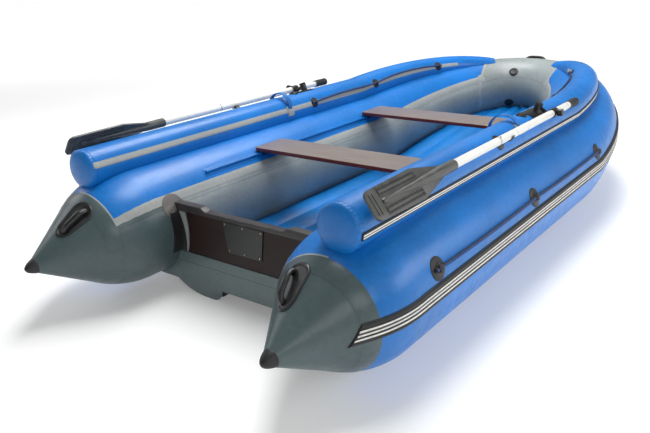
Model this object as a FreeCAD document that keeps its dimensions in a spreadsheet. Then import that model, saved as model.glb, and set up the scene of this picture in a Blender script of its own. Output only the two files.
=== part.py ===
import FreeCAD
import Part
import math
import os
import Sketcher
from FreeCAD import Placement, Rotation, Vector

doc = FreeCAD.newDocument("rowing_boat")
# Driving dimensions, in millimetres and degrees
# Main tubes and the bow
R_TUBE = 240  # tube radius
X_TUBE = 590  # tube offset
L_SIDE = 1820  # side length
L_LEAD = 80  # bow lead
Y_BOW = 3074  # bow reach
N_BOW = 2.13  # bow fullness
H_BOW = 175  # bow rise
P_BOW = 1.165  # bow rise power
R_BOW = 172  # bow radius
A_SEAM = 52  # bow seam angle
GLUE = 0.2  # glue line under what is bonded to the tubes
# Stern cones, which taper from the joint to the shoulder and then run straight to the tip
Y_JOINT = 173  # stern joint
R_SHOULDER = 372  # curve of the cone's shoulder
A_DROOP = 3.6  # droop of the cone
A_CONE = 33  # cone angle
L_TIP = 40  # tip length
R_TIP = 28  # tip radius
# Fender tubes on top of the main tubes
R_FEND = 80  # fender radius
OUT_FEND = 35  # fender out
UP_FEND = 270  # fender up
Y_FEND = 29  # fender start
D_FEND = 24  # fender dome
A_FEND = 70  # fender end angle
R_FEND_END = 56  # fender end radius
UP_FEND_END = 132  # fender end up
IN_FEND_END = 24  # fender end inboard
P_FEND = 1.5  # fender end power
# Inflatable floor with two lobes below and a tunnel between them
DROP = 45  # lobe drop
X_LOBE = 218  # lobe offset
W_LOBE = 40  # lobe flat
X_TUNNEL = 147  # tunnel half width
Z_TUNNEL = 5  # tunnel roof
X_CHINE = 458  # chine offset
Z_CHINE = 44  # chine height
Z_FLOOR = 105  # floor top
X_FLOOR = 400  # floor half width
N_RIDGE = 6  # floor ridges
H_RIDGE = 14  # ridge height
# Transom
Y_TRANSOM = 262  # transom aft face
T_TRANSOM = 30  # transom thickness
D_TRANSOM = 60  # transom foot below the floor top
Z_TRANSOM = 345  # transom top
DIP_TRANSOM = 14  # transom dip
X_DIP = 200  # transom dip half width
T_EDGE = 4  # edging wall
H_EDGE = 13  # edging height
Z_PANEL = 140  # panel top
T_PANEL = 4  # panel thickness
W_PLATE = 210  # motor plate width
H_PLATE = 126  # motor plate height
T_PLATE = 5  # motor plate thickness
Z_PLATE = 254  # motor plate middle
R_PLATE = 8  # motor plate corner radius
W_FLAP = 42  # holder width
T_FLAP = 7  # holder thickness
L_FLAP = 46  # holder length
A_FLAP_TOP = 152  # holder top angle
A_FLAP_FOOT = 208  # holder foot angle
R_PATCH = 52  # patch radius
T_PATCH = 2  # patch thickness
# Thwarts and their rails
W_THWART = 200  # thwart width
G_THWART = 2  # gap at each end of a thwart
T_THWART = 18  # thwart thickness
R_THWART = 18  # thwart corner radius
R_THWART_RIM = 3  # thwart rim radius
Z_THWART = 426  # thwart underside
Y_THWART_1 = 815  # aft thwart edge
Y_THWART_2 = 1700  # front thwart edge
A_RAIL = 135.5  # rail angle
Y_RAIL = 480  # rail start
L_RAIL = L_SIDE + L_LEAD - Y_RAIL  # rail length, to the end of the bow's lead
W_RAIL = 34  # rail width
T_RAIL = 2  # rail base
R_BEAD = 5  # rail bead radius
H_BEAD = 9  # rail bead height
T_WEB = 3  # rail web thickness
SLACK = 0.4  # running clearance
W_SHOE = 150  # shoe width
T_SHOE = 4  # shoe wall
# Strakes
A_STRAKE = 4  # strake middle angle
W_STRAKE = 62  # strake width
T_STRAKE = 9  # strake thickness
Y_STRAKE = -20  # strake start
A_STRAKE_END = 35  # slant of the strake's end
A_FSTRAKE = -10  # fender strake angle
W_FSTRAKE = 26  # fender strake width
T_FSTRAKE = 6  # fender strake thickness
Y_FSTRAKE = 34  # fender strake start
# Lifelines and their eyelets
A_EYE = 21.5  # eyelet angle
Y_EYE = 285  # first eyelet
P_EYE = 800  # eyelet pitch
N_EYE = 3  # eyelet count
R_EYE = 40  # eyelet plate radius
T_EYE = 3  # eyelet plate thickness
R_BOSS = 14  # eyelet boss radius
H_BOSS = 17  # eyelet boss height
R_ROPE = 4.5  # rope radius
H_ROPE = 9  # rope height
# Grab lines on the inner side of the fenders
A_GRAB = 160  # grab angle
Y_GRAB = 1330  # first grab eyelet
P_GRAB = 300  # grab pitch
R_GRAB = 22  # grab plate radius
# Oars, oarlocks and clips
A_LOCK = 70  # oarlock angle
Y_LOCK = 1475  # oarlock place
H_LOCK = 108  # oarlock pin height
D_OAR = 71  # oar side offset
R_SHAFT = 16  # shaft radius
T_SHAFT = 2  # shaft wall
L_INBOARD = 290  # oar inboard length
L_OUTBOARD = 1435  # oar outboard length
L_GRIP = 105  # grip length
R_GRIP = 19  # grip radius
L_BLADE = 500  # blade length
W_BLADE = 108  # blade width
T_BLADE = 8  # blade thickness
L_NECK = 90  # blade neck length
Y_BLADE_WIDE = 260  # blade's widest place from its tip
R_BLADE_TIP = 24  # blade tip corner radius
T_SOCKET = 4  # blade socket wall
Y_SPINE = 70  # spine start from the tip
R_SPINE = 5  # spine start radius
Y_RIB = 60  # rib start from the tip
L_RIB = 190  # rib length
W_RIB = 8  # rib width
H_RIB = 3  # rib height
S_RIB = 0.55  # rib place as a share of the half width
R_GRIP_END = 7  # grip end radius
A_PIN = 8  # oar pin rise above level
L_BASE = 120  # oarlock base length
S_BASE = 25  # oarlock base set aft of its post
W_BASE = 78  # oarlock base width
T_BASE = 3  # oarlock base thickness
R_HEAD = 17  # oarlock head radius
H_HEAD = 30  # oarlock head height
R_PIN = 5  # oarlock pin radius
R_ARM = 8  # oarlock arm radius
L_ARM_BOSS = 8  # oarlock arm boss length
G_KNOB = 1  # gap beside the collar
R_COLLAR = 20  # collar radius
L_COLLAR = 46  # collar length
R_KNOB = 15  # knob radius
L_KNOB = 22  # knob length
Y_CLIP = 1000  # clip place
R_CLIP = 32  # clip plate radius
W_CLIP = 20  # clip width
T_CLIP = 4  # clip wall
# Handles, strap and valves
L_BOW_HANDLE = 190  # bow handle length
A_BOW_HANDLE = 56  # bow handle lean
AFT_HANDLE = 265  # stern handle place along the cone
A_HANDLE = 110  # stern handle place round the cone
L_HANDLE = 160  # handle length
W_HANDLE = 52  # handle width
T_HANDLE = 6  # handle base
R_GRIPBAR = 11  # handle bar radius
H_GRIPBAR = 30  # handle bar height
R_VALVE = 29  # valve radius
T_VALVE = 9  # valve thickness
D_VALVE = 12  # valve depth in the tube
A_VALVE_TOP = 144  # upper bow valve angle
B_VALVE_TOP = 96.5  # upper bow valve place round the bow
A_VALVE_LOW = 214  # lower bow valve angle
B_VALVE_LOW = 101  # lower bow valve place round the bow
A_FVALVE = 84  # fender valve angle
Y_FVALVE = 1358  # fender valve place
R_FVALVE = 24  # fender valve radius
T_FVALVE = 6  # fender valve thickness
Y_STRAP = 1225  # strap place
W_STRAP = 28  # strap width
T_STRAP = 3  # strap thickness
H_STRAP = 26  # strap arch
A_STRAP_OUT = 52  # strap outboard foot angle
A_STRAP_IN = 158  # strap inboard foot angle
G_STRAP_PAD = 16  # strap pad wider than the strap
L_STRAP_PAD = 34  # strap pad length
T_STRAP_PAD = 3  # strap pad thickness
A_STRAP_PAD = 8  # strap pad angle past the foot

# The sheet holds every driving dimension under its own name
sheet = doc.addObject("Spreadsheet::Sheet", "Sizes")
DRIVING = [(name, value) for name, value in globals().items() if name.isupper()]
DERIVED = [
    ("L_SHOULDER", "=R_SHOULDER * sin(A_CONE)"),
    ("R_CONE", "=R_TUBE - R_SHOULDER * (1 - cos(A_CONE))"),
    ("L_CONE", "=L_SHOULDER + (R_CONE - R_TIP) / tan(A_CONE)"),
    ("Y_AFT", "=Y_JOINT - (L_CONE + L_TIP) * cos(A_DROOP)"),
    ("Y_FORE", "=Y_BOW + R_BOW + T_STRAKE"),
    ("Y_MID", "=(Y_AFT + Y_FORE) / 2"),
    ("L_THWART", "=2 * (X_TUBE - sqrt(R_TUBE ^ 2 - (Z_THWART - R_TUBE) ^ 2) - G_THWART)"),
    ("X_OAR", "=X_TUBE + OUT_FEND + H_LOCK * cos(A_LOCK) + D_OAR * sin(A_LOCK)"),
    ("Z_OAR", "=DROP + R_TUBE + UP_FEND + H_LOCK * sin(A_LOCK) - D_OAR * cos(A_LOCK)"),
    ("Y_OAR", "=Y_LOCK - Y_MID"),
]
for row, (name, value) in enumerate(DRIVING + DERIVED, 1):
    sheet.set("A%d" % row, name)
    sheet.set("B%d" % row, str(value))
    sheet.setAlias("B%d" % row, name)
doc.recompute()

# The part's frame has its origin under the middle of the boat's length
L_SHOULDER = R_SHOULDER * math.sin(math.radians(A_CONE))
R_CONE = R_TUBE - R_SHOULDER * (1 - math.cos(math.radians(A_CONE)))
L_CONE = L_SHOULDER + (R_CONE - R_TIP) / math.tan(math.radians(A_CONE))
Y_AFT = Y_JOINT - (L_CONE + L_TIP) * math.cos(math.radians(A_DROOP))
Y_FORE = Y_BOW + R_BOW + T_STRAKE
Y_MID = (Y_AFT + Y_FORE) / 2.0
Z_AXIS = DROP + R_TUBE
X_AXIS = Vector(1, 0, 0)
FORWARD = Vector(0, 1, 0)
UP = Vector(0, 0, 1)
SIDES = (("starboard", 1), ("port", -1))


def at(x, along, z):
    """A place given from the stern joint, the centre plane and the tubes' lowest line."""
    return Vector(x, along - Y_MID, z + DROP)


def frame_rotation(x_dir, y_dir, z_dir):
    return Rotation(x_dir, y_dir, z_dir, "ZXY")


def placed(shape, origin, x_dir, y_dir):
    """The shape moved so that its own X and Y run along the two directions."""
    moved = shape.copy()
    z_dir = x_dir.cross(y_dir)
    moved.Placement = Placement(origin, frame_rotation(x_dir, y_dir, z_dir)).multiply(moved.Placement)
    return moved


def turned(angle):
    """The direction in the cross-section that lies at an angle above outboard."""
    return Vector(math.cos(math.radians(angle)), 0, math.sin(math.radians(angle)))


def rod(start, direction, length, radius):
    return Part.makeCylinder(radius, length, start, direction)


def solid_of(shape):
    """The single solid, or the compound of solids, that a boolean leaves."""
    solids = shape.Solids
    if len(solids) == 1:
        return solids[0]
    return Part.makeCompound(solids)


def mirrored(shape):
    return shape.mirror(Vector(0, 0, 0), X_AXIS)


parts = {}


def add(label, shape, origin=None):
    """Make a sub-part whose placement is its own reference point on the boat."""
    base = origin if origin is not None else Vector(0, 0, 0)
    feature = doc.addObject("Part::Feature", label)
    back = FreeCAD.Matrix()
    back.move(base * -1)
    feature.Shape = shape.transformed(back, True)
    feature.Placement = Placement(base, Rotation())
    feature.Label = label
    parts[label] = feature
    return feature


def add_both(label, shape, origin):
    """One sub-part that holds the starboard piece and its mirror image."""
    pieces = shape.Solids + mirrored(shape).Solids
    add(label, Part.makeCompound(pieces), Vector(0, origin.y, origin.z))


def add_pair(label, shape, origin):
    """The starboard sub-part and its mirror image to port."""
    add(label + "_starboard", shape, origin)
    add(label + "_port", mirrored(shape), Vector(-origin.x, origin.y, origin.z))


# Frames along the bow: centre, outboard, upward and onward directions, radius
def bow_centre(angle):
    """A place on the bow's centre line: 0 is the starboard start and 90 the stem."""
    turn = math.radians(min(angle, 180 - angle))
    across = max(math.cos(turn), 0) ** (2.0 / N_BOW)
    ahead = max(math.sin(turn), 0) ** (2.0 / N_BOW)
    start = L_SIDE + L_LEAD
    hand = 1 if angle <= 90 else -1
    return Vector(hand * X_TUBE * across, start + (Y_BOW - start) * ahead, R_TUBE + H_BOW * ahead ** P_BOW)


def bow_frame(angle):
    step = 0.5
    here = bow_centre(angle)
    onward = bow_centre(min(angle + step, 180)) - bow_centre(max(angle - step, 0))
    if angle <= 0:
        onward = Vector(0, 1, 0)
    if angle >= 180:
        onward = Vector(0, -1, 0)
    onward.normalize()
    outboard = onward.cross(UP)
    outboard.normalize()
    upward = outboard.cross(onward)
    share = (here.z - R_TUBE) / H_BOW
    radius = R_TUBE - (R_TUBE - R_BOW) * share
    return at(here.x, here.y, here.z), outboard, upward, onward, radius


def side_frame(along, hand=1):
    onward = FORWARD * hand
    return at(hand * X_TUBE, along, R_TUBE), X_AXIS * hand, UP, onward, R_TUBE


BOW_STATIONS = (0, 6, 14, 24, 36, 50, 66, 80, 90, 100, 114, 130, 144, 156, 166, 174, 180)


def circle_wire(centre, outboard, upward, radius):
    wire = Part.Wire([Part.makeCircle(radius)])
    return placed(wire, centre, outboard, upward)


def spot(centre, outboard, upward, radius, angle):
    turn = math.radians(angle)
    return centre + outboard * (radius * math.cos(turn)) + upward * (radius * math.sin(turn))


def band_wire(centre, outboard, upward, inner, outer, low, high, taper=0.0):
    """Closed outline of a band laid on a round tube, thinner at its two edges."""
    middle = (low + high) / 2.0
    inner_arc = Part.Arc(spot(centre, outboard, upward, inner, low),
                         spot(centre, outboard, upward, inner, middle),
                         spot(centre, outboard, upward, inner, high))
    outer_arc = Part.Arc(spot(centre, outboard, upward, outer, high - taper),
                         spot(centre, outboard, upward, outer, middle),
                         spot(centre, outboard, upward, outer, low + taper))
    edges = [inner_arc.toShape()]
    edges.append(Part.makeLine(inner_arc.EndPoint, outer_arc.StartPoint))
    edges.append(outer_arc.toShape())
    edges.append(Part.makeLine(outer_arc.EndPoint, inner_arc.StartPoint))
    return Part.Wire(edges)


def arc_degrees(length, radius):
    return math.degrees(length / radius)


# Main tubes, cut square to the drooping cones at the stern
STERN = at(X_TUBE, Y_JOINT, R_TUBE)
STERN_AFT = Vector(0, -math.cos(math.radians(A_DROOP)), -math.sin(math.radians(A_DROOP)))
STERN_UP = Vector(0, STERN_AFT.z, -STERN_AFT.y)


def side_tube():
    tube = rod(at(X_TUBE, Y_JOINT - R_TUBE / 2.0, R_TUBE), FORWARD, L_SIDE - Y_JOINT + R_TUBE / 2.0, R_TUBE)
    return tube.cut(rod(STERN, STERN_AFT, R_TUBE, 2 * R_TUBE))


def bow_loft(grow=0.0):
    lead = L_LEAD / 2.0
    frames = [side_frame(along) for along in (L_SIDE, L_SIDE + lead)]
    frames += [bow_frame(angle) for angle in BOW_STATIONS]
    frames += [side_frame(along, -1) for along in (L_SIDE + lead, L_SIDE)]
    sections = [circle_wire(centre, outboard, upward, radius + grow)
                for centre, outboard, upward, onward, radius in frames]
    return Part.makeLoft(sections, True, False)


def behind_seam(angle, hand):
    """The space on one side of the boat behind the bow's panel seam."""
    centre, outboard, upward, onward, radius = bow_frame(angle if hand > 0 else 180 - angle)
    reach = Y_BOW
    low = 0 if hand > 0 else -reach
    block = Part.makeBox(2 * reach, 2 * reach, reach, Vector(-reach, -reach, low))
    half = Part.makeBox(reach, 2 * reach, reach, at(low, 0, -reach / 2.0))
    return placed(block, centre, outboard, upward).common(half)


SIDE_TUBE = side_tube()
add_pair("side_tube", SIDE_TUBE, STERN)
bow = bow_loft()
BOW_CLEAR = bow_loft(GLUE)
bow_front = bow
for side, hand in SIDES:
    bow_side = solid_of(bow.common(behind_seam(A_SEAM, hand)))
    bow_front = bow_front.cut(bow_side)
    add("bow_side_" + side, bow_side, at(hand * X_TUBE, L_SIDE, R_TUBE))
add("bow_front", solid_of(bow_front), at(0, Y_BOW, R_TUBE + H_BOW))
# One long tool for cutting seats on the starboard side tube
hull_starboard = rod(at(X_TUBE, Y_JOINT - L_LEAD / 2.0, R_TUBE), FORWARD, L_SIDE + L_LEAD * 1.5 - Y_JOINT, R_TUBE)
hull_port = mirrored(hull_starboard)


# Stern cones: a round shoulder that runs into a straight cone, drooping a little, with a rubber tip
def stern_point(aft, radius, angle=90):
    """A point on the stern, with its angle above outboard."""
    turn = math.radians(angle)
    return STERN + STERN_AFT * aft + X_AXIS * (radius * math.cos(turn)) + STERN_UP * (radius * math.sin(turn))


def stern_radius(aft):
    if aft < 0:
        return R_TUBE
    if aft < L_SHOULDER:
        return R_TUBE - R_SHOULDER + math.sqrt(R_SHOULDER ** 2 - aft ** 2)
    return R_CONE - (aft - L_SHOULDER) * math.tan(math.radians(A_CONE))


def stern_cone(grow=0.0):
    slope = math.radians(A_CONE)
    curve = R_SHOULDER + grow
    tall = grow * math.cos(slope)
    long = grow * math.sin(slope)
    middle = stern_point(curve * math.sin(slope / 2.0), R_TUBE - R_SHOULDER + curve * math.cos(slope / 2.0))
    ends = [stern_point(0, 0), stern_point(0, R_TUBE + grow), stern_point(L_SHOULDER + long, R_CONE + tall)]
    ends += [stern_point(L_CONE + long, R_TIP + tall), stern_point(L_CONE + long, 0)]
    outline = [Part.makeLine(ends[0], ends[1]), Part.Arc(ends[1], middle, ends[2]).toShape()]
    outline += [Part.makeLine(ends[2], ends[3]), Part.makeLine(ends[3], ends[4]), Part.makeLine(ends[4], ends[0])]
    return Part.Face(Part.Wire(outline)).revolve(STERN, STERN_AFT, 360)


def cone_tip():
    ball = R_TIP / 2.0
    bend = math.radians(45)
    centre = stern_point(L_CONE, 0)
    brim = stern_point(L_CONE, R_TIP + 2)
    edge = stern_point(L_CONE + L_TIP - ball, ball)
    end = stern_point(L_CONE + L_TIP, 0)
    bulge = stern_point(L_CONE + L_TIP - ball * (1 - math.sin(bend)), ball * math.cos(bend))
    outline = [Part.makeLine(centre, brim), Part.makeLine(brim, edge), Part.Arc(edge, bulge, end).toShape()]
    outline.append(Part.makeLine(end, centre))
    return Part.Face(Part.Wire(outline)).revolve(centre, STERN_AFT, 360)


STERN_CONE = stern_cone()
add_pair("stern_cone", STERN_CONE, STERN)
add_pair("cone_tip", cone_tip(), stern_point(L_CONE, 0))


# Fenders: smaller tubes seated on the main tubes, which run into the bow
FENDER_AXIS = at(X_TUBE + OUT_FEND, 0, R_TUBE + UP_FEND)


def fender_at(along, hand=1):
    return Vector(hand * FENDER_AXIS.x, along - Y_MID, FENDER_AXIS.z)


def fender_side():
    """A straight tube with a shallow domed end, in one turned profile."""
    start = fender_at(Y_FEND)
    end = fender_at(L_SIDE)
    pole = start - FORWARD * D_FEND
    rim = start + UP * R_FEND
    dome = Part.ArcOfEllipse(Part.Ellipse(rim, pole, start), 0, math.pi / 2)
    outline = [dome.toShape(), Part.makeLine(rim, end + UP * R_FEND)]
    outline += [Part.makeLine(end + UP * R_FEND, end), Part.makeLine(end, pole)]
    tube = Part.Face(Part.Wire(outline)).revolve(start, FORWARD, 360)
    return solid_of(tube.cut(hull_starboard).cut(STERN_CONE))


def fender_frame(angle, hand):
    centre, outboard, upward, onward, radius = bow_frame(angle if hand > 0 else 180 - angle)
    share = (angle / A_FEND) ** P_FEND
    lift = UP_FEND + (UP_FEND_END - UP_FEND) * share
    out = OUT_FEND * (1 - share) - IN_FEND_END * share
    return centre + outboard * out + upward * lift, outboard, upward, R_FEND + (R_FEND_END - R_FEND) * share


def fender_bow(hand):
    sections = []
    for along in (L_SIDE, L_SIDE + L_LEAD / 2.0):
        sections.append(circle_wire(fender_at(along, hand), X_AXIS * hand, UP, R_FEND))
    for angle in [station for station in BOW_STATIONS if station < A_FEND] + [A_FEND]:
        centre, outboard, upward, radius = fender_frame(angle, hand)
        sections.append(circle_wire(centre, outboard, upward, radius))
    tube = Part.makeLoft(sections, True, False)
    return solid_of(tube.cut(BOW_CLEAR))


add_pair("fender", fender_side(), fender_at(Y_FEND))
for side, hand in SIDES:
    add("fender_bow_" + side, fender_bow(hand), fender_at(L_SIDE, hand))


# Inflatable floor
def floor_wire(along, narrow, rise, flat):
    """Cross-section: ridged on top, two lobes below and the tunnel between them."""
    def place(x, z):
        return at(x * narrow, along, z + rise)

    low = -DROP * flat

    def rising(x, end_x, end_z):
        """An arc that leaves the lobe's flat bottom at x and ends higher."""
        span, climb = end_x - x, end_z - low
        radius = (span * span + climb * climb) / (2.0 * climb)
        turn = math.asin(min(abs(span) / radius, 1.0)) / 2.0
        if climb > radius:
            turn = (math.pi - 2 * turn) / 2.0
        side = 1 if span > 0 else -1
        return x + side * radius * math.sin(turn), low + radius * (1 - math.cos(turn))

    def half(hand):
        chine = place(hand * X_CHINE, Z_CHINE)
        outer_foot = place(hand * (X_LOBE + W_LOBE / 2.0), low)
        inner_foot = place(hand * (X_LOBE - W_LOBE / 2.0), low)
        roof = place(hand * X_TUNNEL, Z_TUNNEL * flat)
        x, z = rising(X_LOBE + W_LOBE / 2.0, X_CHINE, Z_CHINE)
        outer = Part.Arc(chine, place(hand * x, z), outer_foot).toShape()
        x, z = rising(X_LOBE - W_LOBE / 2.0, X_TUNNEL, Z_TUNNEL * flat)
        inner = Part.Arc(inner_foot, place(hand * x, z), roof).toShape()
        return chine, roof, [outer, Part.makeLine(outer_foot, inner_foot), inner]

    chine_s, roof_s, lobe_s = half(1)
    chine_p, roof_p, lobe_p = half(-1)
    rim = place(X_FLOOR + 40, Z_FLOOR)
    rim_p = place(-X_FLOOR - 40, Z_FLOOR)
    edges = lobe_s + [Part.makeLine(roof_s, roof_p)] + lobe_p + [Part.makeLine(chine_p, rim_p)]
    pitch = 2.0 * X_FLOOR / N_RIDGE
    edges.append(Part.makeLine(rim_p, place(-X_FLOOR, Z_FLOOR)))
    for i in range(int(N_RIDGE)):
        left = -X_FLOOR + i * pitch
        edges.append(Part.Arc(place(left, Z_FLOOR), place(left + pitch / 2, Z_FLOOR + H_RIDGE),
                              place(left + pitch, Z_FLOOR)).toShape())
    edges.append(Part.makeLine(place(X_FLOOR, Z_FLOOR), rim))
    edges.append(Part.makeLine(rim, chine_s))
    return Part.Wire(Part.__sortEdges__(edges))


def floor_aft():
    face = Part.Face(floor_wire(Y_TRANSOM, 1, 0, 1))
    block = face.extrude(FORWARD * (L_SIDE - Y_TRANSOM))
    return block


def floor_bow():
    sections = [floor_wire(L_SIDE, 1, 0, 1), floor_wire(L_SIDE + L_LEAD, 1, 0, 0.97)]
    for angle in (24, 38, 52, 64):
        here = bow_centre(angle)
        share = (here.y - L_SIDE - L_LEAD) / (Y_BOW - L_SIDE - L_LEAD)
        sections.append(floor_wire(here.y, here.x / X_TUBE, here.z - R_TUBE + 18 * share, 1 - 0.8 * share))
    block = Part.makeLoft(sections, True, False)
    return solid_of(block.cut(bow))


# Transom board, seated between the tubes and down to the floor
def transom_outline(bottom, grow=0.0):
    top = Z_TRANSOM + grow
    dip = top - DIP_TRANSOM
    slope = DIP_TRANSOM * 1.6
    x = X_TUBE
    points = [(-x, bottom), (x, bottom), (x, top), (X_DIP + slope, top), (X_DIP, dip)]
    points += [(-X_DIP, dip), (-X_DIP - slope, top), (-x, top)]
    return points


def extruded(points, along, depth):
    corners = [at(x, along, z) for x, z in points]
    face = Part.Face(Part.makePolygon(corners + corners[:1]))
    return face.extrude(FORWARD * depth)


def between_tubes(shape):
    return solid_of(shape.cut(Part.makeCompound([hull_starboard, hull_port])))


floor_block = floor_aft()
board = extruded(transom_outline(Z_FLOOR - D_TRANSOM), Y_TRANSOM, T_TRANSOM)
TRANSOM = between_tubes(board)
foot = Z_FLOOR - D_TRANSOM
slab = extruded([(-X_TUBE, foot), (X_TUBE, foot), (X_TUBE, 2 * Z_FLOOR), (-X_TUBE, 2 * Z_FLOOR)], Y_TRANSOM, T_TRANSOM)
FLOOR = between_tubes(floor_block.cut(slab))
FLOOR_BOW = floor_bow()
add("floor_aft", FLOOR, at(0, Y_TRANSOM, 0))
add("floor_bow", FLOOR_BOW, at(0, L_SIDE, 0))
add("transom_board", TRANSOM, at(0, Y_TRANSOM, Z_TRANSOM))


def transom_edging():
    outer = transom_outline(Z_TRANSOM - DIP_TRANSOM - H_EDGE, T_EDGE)
    lip = extruded(outer, Y_TRANSOM - T_EDGE, T_TRANSOM + 2 * T_EDGE)
    return between_tubes(lip.cut(TRANSOM))


add("transom_edging", transom_edging(), at(0, Y_TRANSOM, Z_TRANSOM))


def tail_panel():
    """The skin over the stern end of the floor and the foot of the transom."""
    shape = Part.Face(floor_wire(Y_TRANSOM - T_PANEL, 1, 0, 1)).extrude(FORWARD * T_PANEL)
    upper = extruded([(-X_TUBE, Z_TUNNEL), (X_TUBE, Z_TUNNEL), (X_TUBE, Z_PANEL), (-X_TUBE, Z_PANEL)],
                     Y_TRANSOM - T_PANEL, T_PANEL)
    return between_tubes(shape.fuse(upper).removeSplitter())


add("tail_panel", tail_panel(), at(0, Y_TRANSOM, Z_PANEL))


def bind(feature, rules):
    """Tie a feature's properties to the sheet."""
    for key, rule in rules.items():
        feature.setExpression(key, rule)
    return feature


def board_body(label, size, corner):
    """A body that starts as a box, with its size and its corner's place from the sheet."""
    body = bind(doc.addObject("PartDesign::Body", label), dict(zip(
        ("Placement.Base.x", "Placement.Base.y", "Placement.Base.z"), corner)))
    bind(body.newObject("PartDesign::AdditiveBox", label + "_block"), dict(zip(("Length", "Width", "Height"), size)))
    doc.recompute()
    parts[label] = body
    return body


def round_edges(body, name, radius, chosen):
    """Round the edges of a body that run as chosen, by a radius from the sheet."""
    before = body.Tip
    edges = ["Edge%d" % (i + 1) for i, edge in enumerate(before.Shape.Edges) if chosen(edge.BoundBox)]
    fillet = body.newObject("PartDesign::Fillet", body.Name + name)
    fillet.Base = (before, edges)
    bind(fillet, {"Radius": radius})
    doc.recompute()


def motor_plate(label, along):
    size = ("Sizes.W_PLATE", "Sizes.T_PLATE", "Sizes.H_PLATE")
    corner = ("-Sizes.W_PLATE / 2", along + " - Sizes.Y_MID", "Sizes.DROP + Sizes.Z_PLATE - Sizes.H_PLATE / 2")
    body = board_body(label, size, corner)
    round_edges(body, "_corners", "Sizes.R_PLATE", lambda box: box.YLength > T_PLATE / 2.0)


motor_plate("motor_plate", "Sizes.Y_TRANSOM - Sizes.T_PLATE")
motor_plate("motor_plate_inner", "Sizes.Y_TRANSOM + Sizes.T_TRANSOM")


def transom_holder():
    """The curved flap that follows the tube on the aft face of the transom."""
    centre = at(X_TUBE, Y_TRANSOM - L_FLAP, R_TUBE)
    low, high = float(A_FLAP_FOOT), float(A_FLAP_TOP)
    ring = Part.Face(band_wire(centre, X_AXIS, UP, R_TUBE, R_TUBE + T_FLAP, high, low)).extrude(FORWARD * L_FLAP)
    foot_centre = at(X_TUBE, Y_TRANSOM - T_FLAP, R_TUBE)
    foot = Part.Face(band_wire(foot_centre, X_AXIS, UP, R_TUBE, R_TUBE + W_FLAP, high, low))
    foot = foot.extrude(FORWARD * T_FLAP)
    keep = Part.makeBox(X_TUBE, 2 * L_FLAP, R_TUBE + 200,
                        at(0, Y_TRANSOM - 1.5 * L_FLAP, Z_PANEL + 1))
    lid = Part.makeBox(X_TUBE, 2 * L_FLAP, R_TUBE,
                       at(0, Y_TRANSOM - 1.5 * L_FLAP, Z_TRANSOM - DIP_TRANSOM - H_EDGE - 1))
    return solid_of(ring.fuse(foot).common(keep).cut(lid).removeSplitter())


add_pair("transom_holder", transom_holder(), at(X_TUBE - R_TUBE, Y_TRANSOM, R_TUBE))


def tube_disc(angle, along, radius, thickness, axis=None, tube=None):
    """A round pad laid on a tube, as thick as the tube's skin patch."""
    axis = axis if axis is not None else at(X_TUBE, along, R_TUBE)
    tube = tube if tube is not None else R_TUBE
    normal = turned(angle)
    post = rod(axis, normal, tube + 3 * radius, radius)
    shell = rod(axis - FORWARD * 2 * radius, FORWARD, 4 * radius, tube + thickness)
    core = rod(axis - FORWARD * 2 * radius, FORWARD, 4 * radius, tube)
    return post.common(shell.cut(core))


def transom_patch():
    angle = 180 - math.degrees(math.asin((Z_TRANSOM - R_TUBE) / R_TUBE))
    pad = tube_disc(angle + 2, Y_TRANSOM - T_TRANSOM / 2.0, R_PATCH, T_PATCH)
    clear = extruded(transom_outline(0, T_EDGE), Y_TRANSOM - T_EDGE, T_TRANSOM + 2 * T_EDGE)
    return solid_of(pad.cut(clear).cut(transom_holder()))


add_both("transom_patches", transom_patch(), at(X_TUBE - R_TUBE, Y_TRANSOM, Z_TRANSOM))


# Thwart rails: a base strip on each tube with a round bead above it
def rail():
    start = at(X_TUBE, Y_RAIL, R_TUBE)
    half = arc_degrees(W_RAIL, R_TUBE) / 2.0
    inner = R_TUBE + GLUE
    strip = Part.Face(band_wire(start, X_AXIS, UP, inner, R_TUBE + T_RAIL, A_RAIL - half, A_RAIL + half))
    strip = strip.extrude(FORWARD * L_RAIL)
    normal = turned(A_RAIL)
    bead = rod(start + normal * (R_TUBE + H_BEAD), FORWARD, L_RAIL, R_BEAD)
    web = Part.makeBox(T_WEB, L_RAIL, H_BEAD, Vector(-T_WEB / 2.0, 0, 0))
    across = FORWARD.cross(normal)
    web = placed(web, start + normal * (R_TUBE + 1), across, FORWARD)
    return solid_of(strip.fuse([bead, web]).removeSplitter())


add_pair("thwart_rail", rail(), at(X_TUBE, Y_RAIL, R_TUBE))


L_THWART = 2 * (X_TUBE - math.sqrt(R_TUBE ** 2 - (Z_THWART - R_TUBE) ** 2) - G_THWART)


def thwart_board(label, edge):
    size = ("Sizes.L_THWART", "Sizes.W_THWART", "Sizes.T_THWART")
    corner = ("-Sizes.L_THWART / 2", edge + " - Sizes.Y_MID", "Sizes.DROP + Sizes.Z_THWART")
    body = board_body(label, size, corner)
    round_edges(body, "_corners", "Sizes.R_THWART", lambda box: box.ZLength > T_THWART / 2.0)
    round_edges(body, "_rims", "Sizes.R_THWART_RIM", lambda box: box.ZLength < T_THWART / 2.0)


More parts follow.
